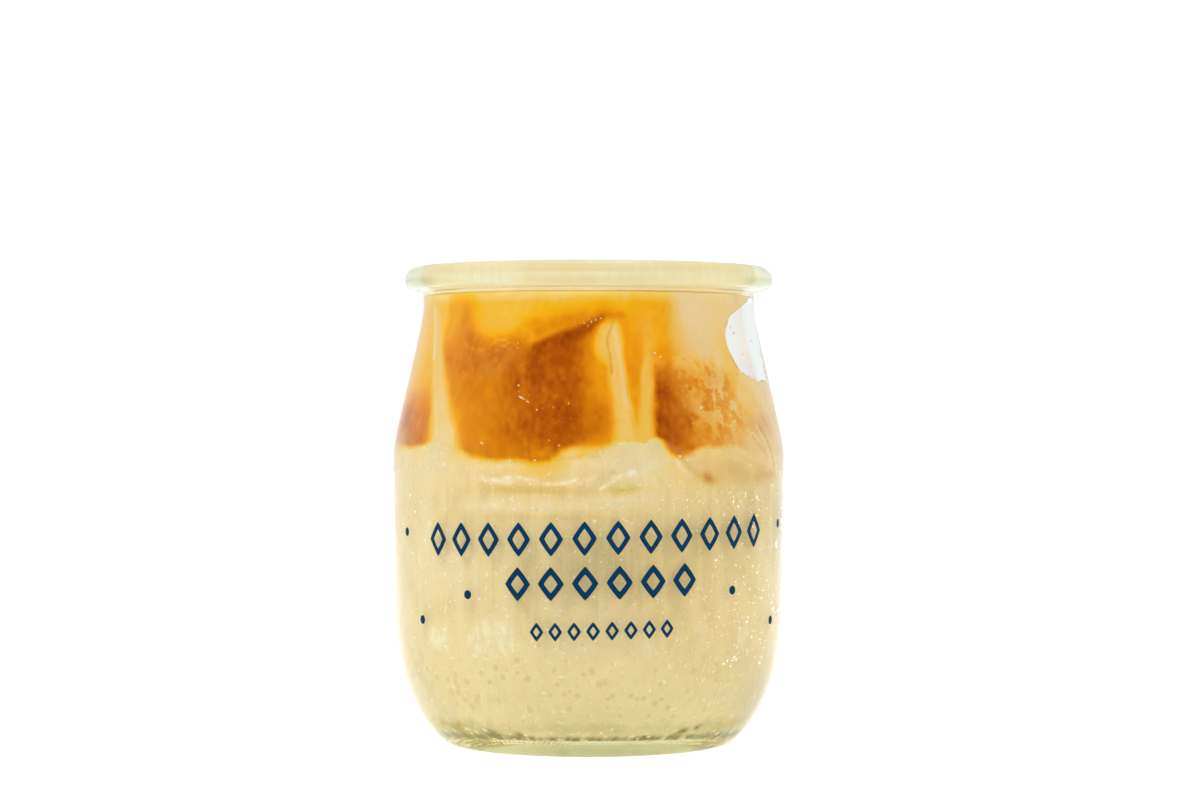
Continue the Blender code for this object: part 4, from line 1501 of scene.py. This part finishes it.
    def underside_light(self, radius: Array, angle: Array) -> Array:
        """How pale the underside looks through the thick glass base, with painted highlights.

        Formula: two thin painted highlight rings, whose radius and strength wander, small marks
        where two crossing waves agree and one broader painted highlight, less the duller edge at
        the sides.
        """
        wander = self.tones.wander(angle, np.zeros_like(radius), Uneven.UNDERSIDE)
        fine = self.tones.wander(angle, np.zeros_like(radius), Uneven.UNDERSIDE_FINE, 3)
        rings = np.zeros_like(radius)
        for (middle, width), sign in zip(self.rings, (1.0, -1.0)):
            strength = smooth(-0.4, 0.2, sign * fine + wander)
            rings = rings + bell(radius - middle - 0.5 * wander, width) * strength
        cross = np.sin(np.radians(97.0 * angle) + 6.0 * radius)
        cross = cross * np.sin(np.radians(61.0 * angle) - 9.0 * radius)
        crackle = smooth(0.4, 0.7, cross) - smooth(0.4, 0.7, -cross)
        crackle = 0.8 * crackle * smooth(18.0, 19.5, radius)
        pale_angle, pale_radius = self.pale_place
        pale = 0.5 * bell(away(angle, pale_angle), 18.0) * bell(radius - pale_radius, 0.9)
        light = 0.03 + 0.2 * wander + 1.2 * rings + crackle + pale
        return light - 0.55 * self.dull_edge(radius, angle)

    def finger(self, finger: Finger, rows: int = 44, columns: int = 20) -> Shell:
        """One finger.

        Formula: a circle is carried up a path that leans along the glass. Its half width
        shrinks with the fourth power of what is left, and rounds off at the tip. No point goes
        past the pudding's skin.
        """
        form, turn = self.form, even_turns(columns)
        root = form.layer_level - form.finger_root
        share = np.linspace(0.0, 1.0, rows)[:, None]
        level = root + (finger.tip_level - root) * share + np.zeros_like(turn)
        middle = finger.foot_angle + (finger.tip_angle - finger.foot_angle) * share
        width = finger.tip_width + (finger.foot_width - finger.tip_width) * (1.0 - share) ** 4
        half = 0.5 * width * np.sqrt(1.0 - share**6) * smooth(-0.05, 0.03, share)
        half[0] = 0.0
        centre = self.jar.inner_radius(level) - form.gap - form.finger_lean * half
        angle = middle + np.degrees(half * np.cos(turn) / centre)
        above = smooth(-0.4, 1.2, level - form.boundary(angle, self.jar))
        proud = (form.finger_proud + form.bite) * above
        skin = form.skin(angle, level, self.jar) + proud - form.bite
        radius = np.minimum(centre + half * np.sin(turn), skin)
        marks = self.tones.tones(angle, level)
        points = round_points(radius, angle, level)
        return Shell(points, marks, inside_out=True)

    def build(self, effects: Effects) -> Piece:
        """Makes the custard."""
        shells = [self.body(), *(self.finger(finger) for finger in self.form.fingers)]
        piece = make_piece("custard_layer", shells, self.finish.build(effects))
        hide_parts("custard")
        return piece


@dataclass
class Caramel:
    """The amber layer round the core, with the air pocket in its side."""

    jar: JarForm
    form: PuddingForm
    tones: WallTones
    finish: PuddingFinish
    columns: int = 640
    top_rows: int = 30
    wall_rows: int = 62
    under_rows: int = 9
    inner_lap: float = 0.5
    lip: float = 0.7
    edge_drop: float = 0.4
    head_drop: float = 1.2
    inner_depth: float = 0.7
    open_depth: float = 0.64

    def surface_marks(self, share: Array, angle: Array) -> Marks:
        """The marks of the free surface.

        Formula: soft arms of custard wind out from the core and fade, where the sine of
        three times the twisted angle is high. A paler ring lies at the core and at the glass.

        Args:
            share: The way from the core to the glass.
            angle: Degrees round the jar.

        Returns:
            All five marks.
        """
        turned = np.radians(angle)
        drift = 0.6 * np.sin(2.0 * turned + 4.0 * share)
        drift = drift + 0.4 * np.sin(5.0 * turned - 7.0 * share + 1.0)
        twist = 3.0 * (turned + 1.5 * share) + 0.7 * drift
        arms = smooth(-0.2, 1.0, np.sin(twist)) * (1.0 - smooth(0.1, 0.7, share))
        ring = bell(share, 0.07)
        depth = self.open_depth + 0.08 * drift - 0.34 * arms
        depth = depth * (1.0 - 0.75 * ring) * (1.0 - 0.55 * bell(1.0 - share, 0.03))
        milk = np.clip(0.5 * arms + 0.4 * ring, 0.0, 1.0)
        return marked(depth, depth=np.clip(depth, 0.0, 1.0), milk=milk, open=1.0)

    def build(self, effects: Effects) -> Piece:
        """Makes the caramel.

        Formula: a profile of rows runs out over the free surface, down the wall, back in under
        the layer and up the core's flank to where it began. The wall follows the glass or the
        pocket, whichever is nearer.
        """
        jar, form = self.jar, self.form
        angle = even_angles(self.columns)
        edge = form.boundary(angle, jar)
        crest = form.sauce(np.ones_like(angle), angle)
        centre = np.array(form.core_centre)
        start = np.full_like(angle, form.core_radius - self.inner_lap)
        start = round_points(start, angle, 0.0)[..., :2] + centre
        end = round_points(form.skin(angle, crest, jar), angle, 0.0)[..., :2]
        across = np.sin(0.5 * math.pi * np.linspace(0.0, 1.0, self.top_rows))[:, None]
        flat = start + (end - start) * across[..., None]
        share = np.minimum(np.linalg.norm(flat, axis=-1) / jar.neck_inside, 1.0)
        level = form.sauce(share, np.degrees(np.arctan2(flat[..., 0], -flat[..., 1])))
        level = level - self.lip * bell(across, 0.05)
        top = np.concatenate([flat, level[..., None]], axis=-1)
        down = np.linspace(0.0, 1.0, self.wall_rows)[1:, None]
        wall_level = crest + (edge - self.edge_drop - crest) * down
        radius = form.skin(angle, wall_level, jar) - 0.05 * smooth(0.6, 0.0, wall_level - edge)
        radius = np.minimum(radius, form.pocket(angle, wall_level))
        wall = round_points(radius, angle, wall_level)
        inward = np.linspace(1.0, 0.0, self.under_rows)[1:, None]
        inner = form.core_foot_radius + form.gap
        reach = inner + (radius[-1:] - inner) * inward
        shelf = form.shelf(reach, edge, jar) + form.gap * smooth(0.0, 0.3, 1.0 - inward)
        under = round_points(reach, angle, shelf - self.edge_drop * bell(1.0 - inward, 0.1))
        under[..., :2] += (1.0 - inward)[..., None] * centre
        head = (form.core_radius - self.edge_drop, form.sauce_level - self.head_drop)
        flank = form.flank((inner, form.layer_level + form.gap), form.gap, head)
        rise = round_points(flank[:, :1], angle, flank[:, 1:])
        rise[..., :2] += centre
        hidden = np.concatenate([under, rise])
        on_top, on_wall = self.surface_marks(across, angle), self.tones.tones(angle, wall_level)
        marks = stacked([on_top, on_wall, marked(hidden[..., 0], depth=self.inner_depth)])
        shell = Shell(np.concatenate([top, wall, hidden]), marks, ring=True, inside_out=True)
        piece = make_piece("caramel_layer", [shell], self.finish.build(effects))
        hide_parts("caramel")
        return piece


@dataclass
class MouthSmear:
    """The thin smear of pudding left on the glass between its surface and the rim.

    Each painted highlight line is given by its level, width and light, and the pale stretch by
    its angle, width and light.
    """

    jar: JarForm
    tones: WallTones
    finish: PuddingFinish
    columns: int = 300
    rows: int = 72
    thickness: float = 0.22
    bite: float = 0.06
    thinnest: float = 0.03
    foot_level: float = 75.3
    usual_top: float = 79.75
    behind: Span = (95.0, 130.0)
    painted_highlight_lines: tuple[Triple, ...] = ((78.74, 0.14, 0.8), (77.86, 0.13, 0.32))
    pale_stretch: Triple = (-32.0, 12.0, 0.28)
    clear_from: Span = (66.0, 72.0)
    clear_to: Span = (108.0, 124.0)
    # Level of the painted shade line at the bead's foot, at both sides.
    shade_line_level: float = 76.3
    light: float = 0.28
    clear_light: float = 1.3
    milk: float = 0.6
    openness: float = 0.3

    def surface_marks(self, angle: Array, level: Array, climb: Array) -> Marks:
        """The marks of the smear.

        Formula: depth and light wander slowly round the jar, with fine level lines, two painted
        highlight lines, a pale stretch at the left and one at the middle below. The far sides are
        thin and pale, and short of them the foot has a painted shade line.

        Args:
            angle: Degrees round the jar.
            level: Heights in millimetres.
            climb: The share of the way from foot to top.

        Returns:
            The five marks.
        """
        front, aside = away(angle, 0.0), np.abs(away(angle, 0.0))
        slow = np.cos(np.radians(5.0 * angle + 60.0))
        slow = slow + 0.6 * np.cos(np.radians(11.0 * angle) + 0.4 * level)
        slow = slow + 1.4 * bell(away(angle, -12.0), 13.0)
        veil = 0.07 + 0.03 * slow + 0.05 * (1.0 - climb)
        veil = veil + 0.012 * self.tones.wander(angle, 3.0 * level, Uneven.SMEAR_VEIL)
        lines = 0.16 * self.tones.wander(0.12 * front, 22.0 * level, Uneven.SMEAR_LINES)
        # Painted highlight lines along the rim.
        for middle, width, light in self.painted_highlight_lines:
            lines = lines + light * bell(level - middle, width)
        middle, width, light = self.pale_stretch
        lines = lines + light * bell(away(angle, middle), width)
        lines = lines + 0.22 * bell(front, 14.0) * smooth(78.2, 77.8, level)
        # Painted shade: a dark line at the bead's foot, at both sides.
        shade_line = smooth(46.0, 54.0, aside) * (1.0 - smooth(80.0, 90.0, aside))
        lines = lines - 1.2 * bell(level - self.shade_line_level, 0.14) * shade_line
        clear = smooth(*self.clear_from, aside) * (1.0 - smooth(*self.clear_to, aside))
        light = (self.light + lines) * (1.0 - clear) + (self.clear_light + 0.3 * lines) * clear
        depth = np.clip(veil, 0.0, 1.0)
        return marked(veil, depth=depth, milk=self.milk, light=light, open=self.openness)

    def build(self, effects: Effects) -> Piece:
        """Makes the smear.

        Formula: a closed band follows the neck and the mouth up to an uneven edge, just inside
        the glass, and comes back down on the free side.
        """
        jar, angle = self.jar, even_angles(self.columns)
        neck = jar.neck_inside
        path = np.concatenate([[(neck, self.foot_level), (neck, jar.bead_foot)], jar.rim(24)[:24]])
        ragged = self.tones.wander(angle, np.zeros_like(angle), Uneven.SMEAR_TOP)
        behind = smooth(*self.behind, np.abs(away(angle, 0.0)))
        top = self.usual_top - 0.12 * (ragged + 1.0) - behind * (0.45 + 0.35 * ragged)
        climb = np.linspace(0.0, 1.0, self.rows)[:, None]
        level = self.foot_level + (top - self.foot_level) * climb
        radius = np.interp(level, path[:, 1], path[:, 0])
        thin = self.thinnest + self.thickness * np.sqrt(np.maximum(1.0 - climb**8, 0.0))
        outside = round_points(radius + self.bite, angle, level)
        inside = round_points(radius - thin, angle, level)
        one_side = self.surface_marks(angle, level, climb)
        marks = stacked([one_side, {name: values[::-1] for name, values in one_side.items()}])
        shell = Shell(np.concatenate([outside, inside[::-1]]), marks, ring=True)
        piece = make_piece("mouth_smear", [shell], self.finish.build(effects))
        return piece


@dataclass(frozen=True)
class PrintRow:
    """A row of shapes on the glass, each centred between two angles."""

    level: float
    first_angle: float
    last_angle: float
    count: int
    height: float
    width: float
    stroke: float
    rise: float = 0.012


@dataclass
class Print:
    """Rows of plain lozenges and dots, printed on the glass."""

    jar: JarForm
    finish: InkFinish = InkFinish()
    thickness: float = 0.05
    lift: float = 0.01
    dot_radius: float = 0.72
    shape_steps: int = 32
    dot_steps: int = 28
    corner_power: float = 1.1
    stroke_at_corners: Span = (1.25, 1.6)
    rows: tuple[PrintRow, ...] = (
        PrintRow(35.7, -47.5, 55, 12, 5.5, 3.9, 0.72),
        PrintRow(28.6, -19.9, 28, 6, 5.4, 4.2, 0.80),
        PrintRow(21, -14.4, 22.6, 8, 3, 2.2, 0.46),
    )
    dots: tuple[Span, ...] = (
        (-65, 35.9), (-36, 26.4), (-55.5, 21.8), (45.2, 26.9), (66.5, 21.3), (73, 37.1)
    )

    def on_glass(self, across: Array, up: Array, angle: float, level: float, proud: Array) -> Array:
        """Lays flat points on the glass: across is an arc length, and proud the height over it."""
        height = level + up
        radius = self.jar.outer_radius(height)
        return round_points(radius + proud, angle + np.degrees(across / radius), height)

    def outline_shape(self, angle: float, row: PrintRow) -> Shell:
        """A lozenge of even stroke.

        Formula: a small rectangle is carried round the lozenge's four sides, given by
        |x|/w + |y|/h = 1, with corners softened by powers a little over 1.
        """
        turn, power = even_turns(self.shape_steps), self.corner_power
        norm = (np.abs(np.cos(turn)) ** power + np.abs(np.sin(turn)) ** power) ** (1.0 / power)
        x, y = np.cos(turn) / norm, np.sin(turn) / norm
        outer = np.array([0.5 * row.width, 0.5 * row.height])
        inner = outer - row.stroke * np.array(self.stroke_at_corners)
        sizes = np.array([inner, outer, outer, inner])
        top = self.lift + self.thickness
        proud = np.array([self.lift, self.lift, top, top])
        level = row.level + row.rise * angle
        points = self.on_glass(sizes[:, :1] * x, sizes[:, 1:] * y, angle, level, proud[:, None])
        return Shell(points, ring=True, inside_out=True)

    def dot(self, angle: float, level: float) -> Shell:
        """A round dot: two flat discs joined at their edge."""
        turn = even_turns(self.dot_steps)
        reach = np.array([0.0, 1.0, 1.0, 0.96, 0.0])[:, None] * self.dot_radius
        top = self.lift + self.thickness
        proud = np.array([self.lift, self.lift, 0.5 * (self.lift + top), top, top])[:, None]
        points = self.on_glass(reach * np.cos(turn), reach * np.sin(turn), angle, level, proud)
        return Shell(points, inside_out=True)

    def build(self, effects: Effects) -> Piece:
        """Makes the print as one piece."""
        shells = []
        for row in self.rows:
            angles = np.linspace(row.first_angle, row.last_angle, row.count)
            shells += [self.outline_shape(angle, row) for angle in angles]
        shells += [self.dot(angle, level) for angle, level in self.dots]
        return make_piece("print_shapes", shells, self.finish.build(effects))


@dataclass(frozen=True)
class BeadGroup:
    """A scatter of water beads, round one angle or, with no spread, all round the glass."""

    count: int
    angle: float
    angle_spread: float
    lowest: float
    highest: float
    smallest: float
    largest: float
    stretch: float
    rise: float


@dataclass
class WaterBeads:
    """Small beads of water on the outside of the glass, more and larger ones to the right."""

    jar: JarForm
    finish: WaterFinish = WaterFinish()
    seed: int = 8
    rows: int = 4
    columns: int = 8
    sink: float = 0.02
    groups: tuple[BeadGroup, ...] = (
        BeadGroup(300, 0, 0, 14, 48, 0.08, 0.20, 1.3, 0.26),
        BeadGroup(260, 20, 30, 17, 43, 0.07, 0.17, 1.8, 0.28),
        BeadGroup(220, 50, 20, 12, 47, 0.08, 0.24, 1.2, 0.26),
        BeadGroup(90, 34, 16, 36, 44, 0.08, 0.24, 1.1, 0.32),
        BeadGroup(50, 88, 9, 12, 42, 0.4, 0.8, 1.25, 0.22),
    )

    def scatter(self, draw: np.random.Generator, group: BeadGroup) -> tuple[Array, ...]:
        """The angles, levels and sizes of a group's beads, drawn from a seeded generator."""
        if group.angle_spread:
            angle = draw.normal(group.angle, group.angle_spread, group.count)
        else:
            angle = draw.uniform(-HALF_TURN, HALF_TURN, group.count)
        level = draw.uniform(group.lowest, group.highest, group.count)
        size = group.smallest + (group.largest - group.smallest) * draw.random(group.count) ** 3
        return angle, level, size

    def beads(self, draw: np.random.Generator, group: BeadGroup) -> list[Shell]:
        """The beads of a group.

        Formula: each bead is a low dome on a disc just under the glass surface, and is
        stretched upright.
        """
        angle, level, size = (values[:, None, None] for values in self.scatter(draw, group))
        turn = even_turns(self.columns)
        fall = np.linspace(0.0, 0.5 * math.pi, self.rows)[::-1]
        reach = np.concatenate([[0.0], np.sin(fall)])[:, None]
        rise = np.concatenate([[0.0], np.cos(fall)])[:, None]
        across = size * reach * np.cos(turn)
        height = level + group.stretch * size * reach * np.sin(turn)
        proud = group.rise * size * rise - self.sink
        radius = self.jar.outer_radius(height)
        points = round_points(radius + proud, angle + np.degrees(across / radius), height)
        return [Shell(bead, inside_out=True) for bead in points]

    def build(self, effects: Effects) -> Piece:
        """Makes all the beads as one piece."""
        draw = np.random.default_rng(self.seed)
        shells = [bead for group in self.groups for bead in self.beads(draw, group)]
        return make_piece("water_beads", shells, self.finish.build(effects))


@dataclass(frozen=True)
class Glint:
    """A small speck against the glass: its light paints a highlight above nought, a drop below."""

    angle: float
    level: float
    length: float
    width: float
    tilt: float = 0.0
    light: float = 1.0


@dataclass
class BubblesAndGlints:
    """Small air bubbles and painted highlight specks that lie in the pudding against the glass.

    Those that are placed are given by the numbers of a Glint. A cluster has a count, an angle
    and its spread, a level and its spread, and a light.
    """

    jar: JarForm
    form: PuddingForm
    finish: PuddingFinish
    seed: int = 4
    rows: int = 5
    columns: int = 8
    depth: float = 0.12
    proud: float = 0.07
    tone_depth: float = 0.34
    smallest: float = 0.06
    size_range: float = 0.10
    # Placed specks: a light near 1 paints a highlight, a light below nought a dark caramel drop.
    placed: Table = (
        (-20.6, 57.8, 0.75, 0.16, -0.5), (-18.6, 57.2, 0.35, 0.12, -0.5), (-15.5, 55.9, 0.22, 0.13),
        (-32.6, 50.6, 0.42, 0.16, -0.45), (-23, 47.9, 0.2, 0.14), (-15.4, 48, 0.3, 0.15, 0.5),
        (-22, 59.8, 0.3, 0.13, -0.8, 0.5), (-8.4, 50.3, 0.2, 0.14),
        (36.5, 56.2, 0.4, 0.15, 0.8, 0.8), (35.4, 55.6, 0.3, 0.12, 0.8, 0.6),
        (22, 65, 0.3, 0.2, 0.6, 0.6), (-31, 45.1, 0.34, 0.12, -0.4, 0.9),
        (-27.6, 44.8, 0.4, 0.12, 0.1, 0.9), (-24.2, 44.9, 0.22, 0.1, 0.4, 0.8),
        (-20.6, 45.1, 0.34, 0.12, -0.3, 0.8), (-16.2, 44.6, 0.24, 0.1, 0.3, 0.8),
        (-9.2, 44.8, 0.36, 0.12, 0.4, 0.8), (-5.2, 45.1, 0.22, 0.1, 0, 0.7),
        (5.6, 44.5, 0.26, 0.1, 0.8, 0.8), (9.6, 45.6, 0.3, 0.12, 0.5, 0.8),
        (24, 64.4, 0.25, 0.2, 0, 0.4), (12.6, 45.9, 0.55, 0.14, -0.3), (30, 48, 0.35, 0.16, 0, 0.8),
        (27.5, 48.6, 0.3, 0.16, 0, 0.7), (2.6, 70.3, 0.16, 0.1, 0.4, 0.8),
        (1.2, 70, 0.14, 0.1, 0, 0.7), (4.4, 70.6, 0.2, 0.1, 0.3, 0.6),
        (58.5, 68.4, 0.22, 0.1, 1.2, -0.7), (57, 69.3, 0.14, 0.08, 0.6, -0.6),
        (72, 67.2, 0.2, 0.1, 1.4, -0.6), (55.8, 61.6, 0.24, 0.12, 0.2, -0.8),
    )
    clusters: Table = (
        (26, -20, 9, 55.5, 4.5, 0),
        (16, -31, 6, 65.6, 1, 0.05),
        (26, 34, 6, 63, 1.1, 0.1),
        (60, 47, 8, 56.5, 3.5, 0.05),
        (10, 0, 3, 70, 0.5, 0.3),
        (50, 200, 70, 58, 5, 0),
    )

    def drawn(self) -> list[Glint]:
        """The bubbles of the clusters, drawn from a seeded generator."""
        draw = np.random.default_rng(self.seed)
        bubbles = []
        for count, angle, spread, level, rise, light in self.clusters:
            for _ in range(count):
                size = self.smallest + self.size_range * draw.random() ** 2
                where = (draw.normal(angle, spread), draw.normal(level, rise))
                length, tilt = size * draw.uniform(1.0, 2.0), draw.uniform(-1.5, 1.5)
                bubbles.append(Glint(*where, length, size, tilt, light))
        return bubbles

    def bubble(self, glint: Glint) -> Shell:
        """One bubble: a flat ellipsoid that lies in the pudding's skin and is tilted on it."""
        turn = even_turns(self.columns)
        fall = np.linspace(0.0, math.pi, self.rows)[:, None]
        along = glint.length * np.sin(fall) * np.cos(turn)
        over = glint.width * np.sin(fall) * np.sin(turn)
        across = along * math.cos(glint.tilt) - over * math.sin(glint.tilt)
        level = glint.level + along * math.sin(glint.tilt) + over * math.cos(glint.tilt)
        skin = self.form.skin(np.array(glint.angle), level, self.jar)
        radius = skin + self.proud - self.depth + self.depth * np.cos(fall)
        points = round_points(radius, glint.angle + np.degrees(across / radius), level)
        marks = marked(points[..., 0], depth=self.tone_depth, light=glint.light)
        return Shell(points, marks)

    def build(self, effects: Effects) -> Piece:
        """Makes the bubbles and the painted highlight specks as one piece."""
        placed = [Glint(*numbers) for numbers in self.placed]
        shells = [self.bubble(glint) for glint in (*placed, *self.drawn())]
        return make_piece("bubbles_and_glints", shells, self.finish.build(effects))


@dataclass(frozen=True)
class Softbox:
    """A square studio light that faces the jar."""

    name: str
    place: Triple
    size: float
    watts: float


@dataclass
class Studio:
    """The pale floor, the even light and the camera."""

    floor_half: float = 1.6
    floor_colour: Colour = (0.80, 0.80, 0.79)
    floor_paler: Colour = (0.82, 0.82, 0.81)
    floor_glow: float = 0.60
    far_glow: float = 0.20
    glow_reach: Span = (0.15, 0.9)
    surround: float = 1.08
    surround_in_gloss: float = 0.92
    light_aim: Triple = (0.0, 0.0, 0.04)
    lens: float = 83.4
    sensor: float = 36.0
    camera_place: Triple = (0.00192, -0.472, 0.0576)
    softboxes: tuple[Softbox, ...] = (
        Softbox("key_softbox", (-0.45, -0.42, 0.62), 0.34, 1.6),
        Softbox("fill_softbox", (0.55, -0.25, 0.40), 0.38, 0.8),
    )

    def floor(self, effects: Effects) -> None:
        """A plain pale floor with a faint unevenness, lit softly from below like a light table."""
        material, kit, shader = principled(
            "pale_floor", Roughness=0.6, Specular_IOR_Level=0.1, Emission_Color=WHITE
        )
        far = kit.add("ShaderNodeVectorMath", {"operation": "LENGTH"}, i0=kit.place())
        far = far.outputs["Value"]
        tone = effects.use(kit, Effect.RELIEF, Slow=4.0, Fine=30.0, Share_of_Fine=0.2)
        kit.feed(
            shader,
            Emission_Strength=kit.step(far, *self.glow_reach, self.floor_glow, self.far_glow),
            Base_Color=kit.mix(tone.outputs["Height"], self.floor_colour, self.floor_paler),
        )
        side = self.floor_half
        mesh = bpy.data.meshes.new("pale_floor")
        corners = [(-side, -side, 0), (side, -side, 0), (side, side, 0), (-side, side, 0)]
        mesh.from_pydata(corners, [], [(0, 1, 2, 3)])
        mesh.materials.append(material)
        put_in_scene("pale_floor", mesh)

    def light(self) -> None:
        """White light from all sides, dimmer where it is only mirrored, and two softboxes."""
        world = bpy.data.worlds.new("white_surround")
        world.use_nodes = True
        kit = Kit(world.node_tree)
        mirrored = kit.add("ShaderNodeLightPath").outputs["Is Glossy Ray"]
        drop = self.surround_in_gloss - self.surround
        strength = kit.math("MULTIPLY_ADD", mirrored, drop, self.surround)
        kit.feed(world.node_tree.nodes["Background"], Color=WHITE, Strength=strength)
        bpy.context.scene.world = world
        for box in self.softboxes:
            lamp = bpy.data.lights.new(box.name, "AREA")
            lamp.shape, lamp.size, lamp.energy = "SQUARE", box.size, box.watts
            holder = put_in_scene(box.name, lamp)
            holder.location = box.place
            holder.visible_glossy = False
            aim = np.array(self.light_aim) - np.array(box.place)
            flat = math.hypot(aim[0], aim[1])
            holder.rotation_euler = (math.atan2(flat, -aim[2]), 0.0, math.atan2(-aim[0], aim[1]))

    def camera(self) -> None:
        """The camera at the photograph's viewing angle, level with the jar's upper half."""
        data = bpy.data.cameras.new("front_camera")
        data.lens, data.sensor_width = self.lens, self.sensor
        camera = put_in_scene("front_camera", data)
        camera.location = self.camera_place
        camera.rotation_euler = (math.radians(QUARTER_TURN), 0.0, 0.0)
        bpy.context.scene.camera = camera

    def build(self, effects: Effects) -> None:
        """Sets the stage."""
        self.floor(effects)
        self.light()
        self.camera()
        scene = bpy.context.scene
        scene.view_settings.view_transform = "Standard"
        scene.cycles.max_bounces = 24
        scene.cycles.glossy_bounces = 16
        scene.cycles.transmission_bounces = 24


def corners(box: tuple) -> list[list[float]]:
    """A box's two corners as plain lists of numbers."""
    return [[float(part) for part in corner] for corner in box]


def main() -> None:
    """Builds the pieces in order."""
    logging.basicConfig(level=logging.INFO, format="%(message)s")
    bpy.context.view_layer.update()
    effects = Effects()
    jar, pudding = JarForm(), PuddingForm()
    tones = WallTones(jar, pudding)
    custard = PuddingFinish(
        "custard_cream", 0.5, 0.24, (0.80, 0.61, 0.29), (0.10, 0.52), 540.0, 0.1, 0.35, haze=0.9
    )
    caramel = PuddingFinish(
        "caramel_sauce", 0.45, 0.19, (0.86, 0.46, 0.05), (0.22, 0.35), 1100.0, 0.06, 0.8
    )
    smear = PuddingFinish(
        "smear_of_custard", 0.4, 0.14, (0.88, 0.74, 0.44), (0.1, 0.0), 900.0, 0.1, 0.3, broken=0.25
    )
    # Finish of the bubbles and specks: its pale tones are painted highlights.
    bubbles = PuddingFinish("bubbles_and_painted_glints", 0.4, 0.1, (0.88, 0.74, 0.44))
    GlassJar(jar).build(effects)
    Custard(jar, pudding, tones, custard).build(effects)
    Caramel(jar, pudding, tones, caramel).build(effects)
    MouthSmear(jar, tones, smear).build(effects)
    Print(jar).build(effects)
    WaterBeads(jar).build(effects)
    BubblesAndGlints(jar, pudding, bubbles).build(effects)
    Studio().build(effects)


if __name__ == "__main__":
    main()
